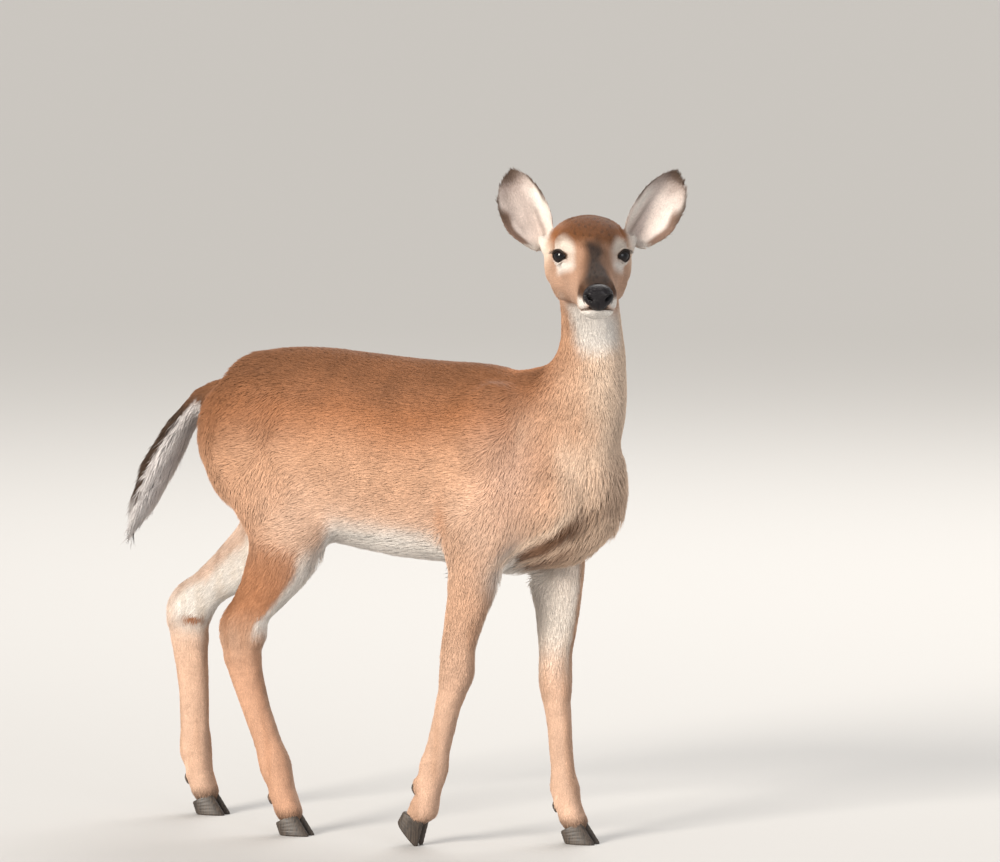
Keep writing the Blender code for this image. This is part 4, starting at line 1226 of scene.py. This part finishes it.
def lid_rim(side):
    """The bare edge of both lids: a thin tube along the opening, fuller above and drawn out at the front corner."""
    n, m = 96, 12
    a, turn = TURN * np.arange(n) / n, TURN * np.arange(m) / m
    path, e = lid_edge(side, a, 0.0008)
    sideways = unit(np.cross(unit(np.roll(path, -1, axis=0) - np.roll(path, 1, axis=0)), e))
    corner = bell(np.mod(a + np.pi, TURN), np.pi, 0.3)
    thick = 0.0011 + 0.0011 * np.maximum(np.sin(a), 0.0) ** 0.5 + 0.001 * corner
    ring = e[:, None] * np.cos(turn)[None, :, None] * 0.9 + sideways[:, None] * np.sin(turn)[None, :, None]
    q = (path[:, None] + ring * thick[:, None, None]).reshape(-1, 3)
    quads = strips(n + 1, m)[:, [0, 3, 2, 1]] % (n * m)
    return closed(f"lid_{SIDES[side]}", from_head(q), halved(quads))


def lashes(draw):
    """Stiff dark lashes along both upper lids, longest towards the rear corner, where they sweep outward and back."""
    roots, ways, longs = [], [], []
    count = 60
    for side in (-1, 1):
        a = np.linspace(0.95, 3.05, count) + draw.normal(0, 0.02, count)
        path, e = lid_edge(side, a, 0.0014)
        _, aim, front, up = eye_axes(side)
        swept = ramp(1.0, 2.8, a)[:, None]
        roots.append(path)
        ways.append(unit(e * 0.9 + aim * 0.5 - front * swept * 0.9 + up * 0.2 + draw.normal(0, 0.05, (count, 3))))
        longs.append((0.003 + 0.0055 * ramp(1.2, 2.6, a)) * draw.uniform(0.8, 1.1, count))
    root, way = from_head(np.concatenate(roots)), np.concatenate(ways) @ HEAD_AXES
    normal = unit(np.cross(way, np.cross((0.0, 0.0, 1.0), way)))
    dark, one = np.full(root.shape, 0.01), np.ones(len(root))
    return tufts("lashes", root, way, -normal, np.concatenate(longs), one * 0.0006, one * 0.0012, dark, dark,
                 np.zeros((len(root), 2)), draw, 3)


def nose_pad():
    """The leather at the end of the muzzle: a rounded block, narrower below, with a comma-shaped nostril sunk into
    each upper side, a raised rim over each, and a groove down the middle to the lip."""
    p, tri = ball(110, 120, 1)
    shape = np.sign(p) * np.abs(p) ** 0.86
    shape[:, 1] *= 1.0 - 0.3 * ramp(0.15, -1.0, shape[:, 2])
    q = shape * NOSE_HALF
    _, s, z = folded(q).T
    ahead = ramp(0.02, 0.4, p[:, 0])
    deep = hill((s - 0.0172) / 0.005, (z - 0.002 - 0.45 * (s - 0.017)) / 0.0038)
    tail = hill((s - 0.0215) / 0.0038, (z - 0.007 + 0.4 * (s - 0.0215)) / 0.0022)
    rim = hill((s - 0.015) / 0.0085, (z - 0.0096) / 0.0032)
    groove = bell(s, 0.0, 0.0011) * ramp(0.002, -0.004, z)
    sink = ahead * (0.0098 * np.clip(deep * 1.25, 0, 1) ** 1.5 + 0.005 * tail - 0.0016 * rim + 0.0012 * groove)
    q = q - unit(q * (1.0, 0.55, 0.8)) * sink[:, None]
    made = closed("nose_pad", from_head(pitched(q, math.radians(14.0)) + NOSE_AT), tri)
    keep_tint(made.data, layered(
        np.array((0.006, 0.004, 0.006)),
        # painted shade: the nostrils' hollows darker than the leather
        ((0.0015, 0.001, 0.001), np.clip((deep + tail) * ahead * 1.4, 0, 1)),
        # painted highlight: the leather's top lighter
        ((0.02, 0.014, 0.015), ramp(0.6, 0.95, p[:, 2]) * 0.5),
    ))
    return made


def hoof(leg, toe):
    """Half of a cloven hoof: a pointed oval that leans back and shortens as it rises, with growth rings round it, a
    rounded sole edge, and a flat sole."""
    levels, sides = 30, 44
    t = np.linspace(0.0, 1.0, levels)[:, None]
    a = (TURN * np.arange(sides) / sides)[None]
    along, over = np.cos(a), np.sin(a)
    edge = 1.0 - 0.055 * (1.0 - ramp(0.0, 0.09, t)) - 0.05 * ramp(0.9, 1.0, t)
    rings = 1.0 + 0.01 * np.sin(t * 34.0 + 1.5 * along) * ramp(0.08, 0.2, t)
    half = HOOF_WIDTH / 2 * np.abs(over) ** 0.8 * (1.0 - 0.22 * along) * np.sign(over)
    x = HOOF_LENGTH / 2 * along * (1.0 - HOOF_TAPER * t) * edge * rings - HOOF_RAKE * t
    y = toe * (HOOF_WIDTH / 2 + 0.001 - 0.0018 * along) + half * (1.0 - 0.1 * t) * edge * rings
    z = t * HOOF_HEIGHT * (0.86 + 0.26 * along)
    q = np.stack(np.broadcast_arrays(x, y, z), axis=-1).reshape(-1, 3)
    q = np.concatenate([q, [q[:sides].mean(0), q[-sides:].mean(0)]])
    q = on_foot(q, *FEET[leg]) + BODY_ORIGIN
    q[:, 2] = np.maximum(q[:, 2], 0.0)
    j = np.arange(sides)
    k, top, sole = (j + 1) % sides, (levels - 1) * sides, 0 * j + levels * sides
    tri = np.concatenate([
        halved(strips(levels, sides)), np.stack([sole, k, j], 1), np.stack([sole + 1, top + j, top + k], 1)
    ])
    return q, outward(q, tri)


def dewclaw(name):
    """A small pointed claw: an egg, narrowed towards its lower end, with fine rings."""
    p, tri = ball(24, 24)
    low, high = (np.array(v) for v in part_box(name))
    girth = (1.0 - 0.35 * ramp(0.2, -1.0, p[:, 2])) * (1.0 + 0.02 * np.sin(p[:, 2] * 14.0))
    q = p * ((high - low) / 2 * 0.97) * np.stack([girth, girth, np.ones(len(p))], 1) + middle(name)
    return q, outward(q, tri)


# Assembly

draw = np.random.default_rng(7)
hair, hide, leather = hair_material(), hide_material(), leather_material()
eye_gloss, lid_dark, horn = eye_material(), lid_material(), horn_material()

points, tri = stitched()
_, share = lie_of_coat(points, normals(points, tri))
for _ in range(2):
    points = points - normals(points, tri) * (share @ DEPTH)[:, None] / 2
points = sculpted(points, tri)
normal = normals(points, tri)
way, share = lie_of_coat(points, normal)

skin = object_of("skin", points, tri)
skin_uv = unwrap(skin)
# the skin's tint, darkened as painted shade deep in the coat
keep_tint(skin.data, tint(points, normal, share) * SKIN_PAINTED_SHADE)
grain = points - 0.88 * way * dot(points, way)[:, None]
store = skin.data.attributes.new("grain", "FLOAT_VECTOR", "POINT")
store.data.foreach_set("vector", grain.astype(np.float32).ravel())
settle(skin, hide, "coat", *FLESH)

corners = points[tri]
tri_at = corners.mean(1)
tri_area = size(np.cross(corners[:, 1] - corners[:, 0], corners[:, 2] - corners[:, 0])) / 2
tri_share = share[tri].mean(1)


def bare(q):
    """True where no hair grows: between the lids, on the nose leather and along the lips."""
    gone = size((q - NOSE_AT) / NOSE_HALF) < 1.06
    for side in (-1, 1):
        level, _, _, far = lid_level(q, side)
        gone |= (level < 1.04) & (far < 0.024)
    return gone | (q[:, 0] > 0.092) & (np.abs(q[:, 2] - mouth_height(q[:, 0])) < 0.0013)


def grow(name, chosen, slot, rings=1):
    """Tufts over the chosen triangles, thick enough to cover them, with each kind's size, and the markings' colours."""
    tuft_area = 0.5 * (tri_share @ LENGTH) * (tri_share @ WIDTH)
    weight = np.where(chosen & haired, tri_area * (tri_share @ COVER) / tuft_area, 0.0)
    count = int(min(weight.sum(), MOST_TRIANGLES / (6 * rings)))
    pick = np.searchsorted(np.cumsum(weight) / weight.sum(), draw.random(count))
    r1, r2 = np.sqrt(draw.random(count)), draw.random(count)
    shares = np.stack([1 - r1, r1 * (1 - r2), r1 * r2], axis=1)[:, :, None]

    def at(values):
        """Values of the skin's points, taken at the roots."""
        return (values[tri[pick]] * shares).sum(1)

    root, up, flow, kinds = at(points), unit(at(normal)), at(way), at(share)
    b, q = root - BODY_ORIGIN, in_head(root)
    spin = draw.normal(0.0, 0.08, count) + 0.07 * waves(root, 38.0, 50)
    flow = unit(flow - up * dot(flow, up)[:, None])
    flow = flow * np.cos(spin)[:, None] + np.cross(up, flow) * np.sin(spin)[:, None]
    calm = 1.0 - 0.8 * kinds[:, TAIL] * ramp(0.7, 0.77, b[:, 2])
    calm = calm * (1.0 - 0.45 * kinds[:, NECK] * ramp(-0.22, -0.15, q[:, 2]))
    for side in (-1, 1):
        level, _, _, far = lid_level(q, side)
        calm = np.where(far < 0.032, calm * (0.35 + 0.65 * ramp(1.0, 2.2, level)), calm)
    groin = kinds[:, BELLY] * bell(b[:, 0], -0.085, 0.06)
    length = (kinds @ LENGTH) * draw.uniform(0.65, 1.3, count) * calm * (1.0 + 0.6 * groin)
    width = (kinds @ WIDTH) * draw.uniform(0.75, 1.25, count)
    height = (kinds @ DEPTH) * draw.uniform(0.6, 1.05, count) * calm * (1.0 + 0.5 * groin) + 0.0004
    colour = tint(root, up, kinds) * (1.0 + draw.normal(0.0, 0.09, count))[:, None]
    # each tuft darker at its root as painted shade and lighter at its tip as painted light
    made = tufts(name, root, flow, up, length, width, height, colour * ROOT_PAINTED_SHADE,
                 np.clip(colour * TIP_PAINTED_LIGHT, 0, 0.95), (skin_uv[pick] * shares).sum(1), draw, rings)
    settle(made, hair, slot)


haired = ~bare(in_head(tri_at))
ahead, aside, _ = (tri_at - BODY_ORIGIN).T
kind = tri_share.argmax(1)
fore, left, legs = ahead >= 0.03, aside > 0, (kind == UPPER) | (kind == LOWER)
grow("coat_shoulder_left", (kind == TRUNK) & fore & left, "coat")
grow("coat_shoulder_right", (kind == TRUNK) & fore & ~left, "coat")
grow("coat_haunch_left", (kind == TRUNK) & ~fore & left, "coat")
grow("coat_haunch_right", (kind == TRUNK) & ~fore & ~left, "coat")
grow("coat_neck", kind == NECK, "neck_coat")
grow("coat_head", kind == HEAD, "coat")
grow("coat_ears", kind == EAR, "ear_coat")
grow("coat_forelegs", legs & (ahead > 0), "leg_coat")
grow("coat_hind_legs", legs & (ahead < 0), "leg_coat")
grow("coat_belly", kind == BELLY, "coat", 2)
grow("coat_tail", kind == TAIL, "tail_coat", 3)

for side, word in SIDES.items():
    settle(eyeball(side), eye_gloss, "eye", f"eye_{word}")
    settle(lid_rim(side), lid_dark, "coat")
settle(lashes(draw), lid_dark, "coat")
settle(nose_pad(), leather, "nose", "nose")
hooves = object_of("hooves", *merged([hoof(leg, toe) for leg in LEGS for toe in (-1, 1)]))
settle(hooves, horn, "hoof", *[f"hoof_{leg}_{toe}" for leg in LEGS for toe in ("inner", "outer")])
settle(object_of("dewclaws", *merged([dewclaw(name) for name in CLAWS])), horn, "hoof", *CLAWS)

# Floor, light and camera


def floor(reach):
    """A plain pale floor: a flat square that reaches that far to each side."""
    made = object_of("floor", [(-reach, -reach, 0), (reach, -reach, 0), (reach, reach, 0), (-reach, reach, 0)],
                     [(0, 1, 2, 3)])
    plain, _, shader = new_material("floor", 0.8, 0.2)
    shader.inputs["Base Color"].default_value = (0.56, 0.55, 0.54, 1.0)
    made.data.materials.append(plain)


def light(name, kind, place, power, colour, **shape):
    """A light at a place, that faces the middle of the animal."""
    data = bpy.data.lights.new(name, kind)
    for key, value in {"energy": power, "color": colour, **shape}.items():
        setattr(data, key, value)
    made = linked(name, data)
    made.location = place
    made.rotation_euler = (middle_of_all - made.location).to_track_quat("-Z", "Y").to_euler()


middle_of_all = (cad_box[0] + cad_box[1]) / 2
floor(2500)
light("key", "SUN", (-3.6, -12.2, 5.4), 4.4, (1.0, 0.94, 0.85), angle=math.radians(22.0))
light("fill", "AREA", (9.0, -5.6, 3.2), 240.0, (0.92, 0.95, 1.0), size=5.0)
light("top", "AREA", (-0.9, 5.6, 7.5), 520.0, (1.0, 0.98, 0.95), size=6.0)
world = bpy.data.worlds.new("studio")
world.use_nodes = True
wire(world.node_tree, world.node_tree.nodes["Background"], {"Color": (1.0, 0.985, 0.96, 1.0), "Strength": 0.56})
bpy.context.scene.world = world
bpy.context.scene.view_settings.view_transform = "Standard"

VIEW_TURN, VIEW_RISE, VIEW_FAR = math.radians(28.0), math.radians(4.5), 10.0
camera = linked("camera", bpy.data.cameras.new("camera"))
camera.data.sensor_width = 36.0
camera.data.lens = 200.2
camera.data.clip_end = 5000.0
vector = type(middle_of_all)
aim = vector((middle_of_all.x + 0.165, middle_of_all.y + 0.156, 0.735))
towards = vector((-math.sin(VIEW_TURN) * math.cos(VIEW_RISE), math.cos(VIEW_TURN) * math.cos(VIEW_RISE),
                  -math.sin(VIEW_RISE)))
camera.location = aim - towards * VIEW_FAR
camera.rotation_euler = towards.to_track_quat("-Z", "Y").to_euler()
bpy.context.scene.camera = camera
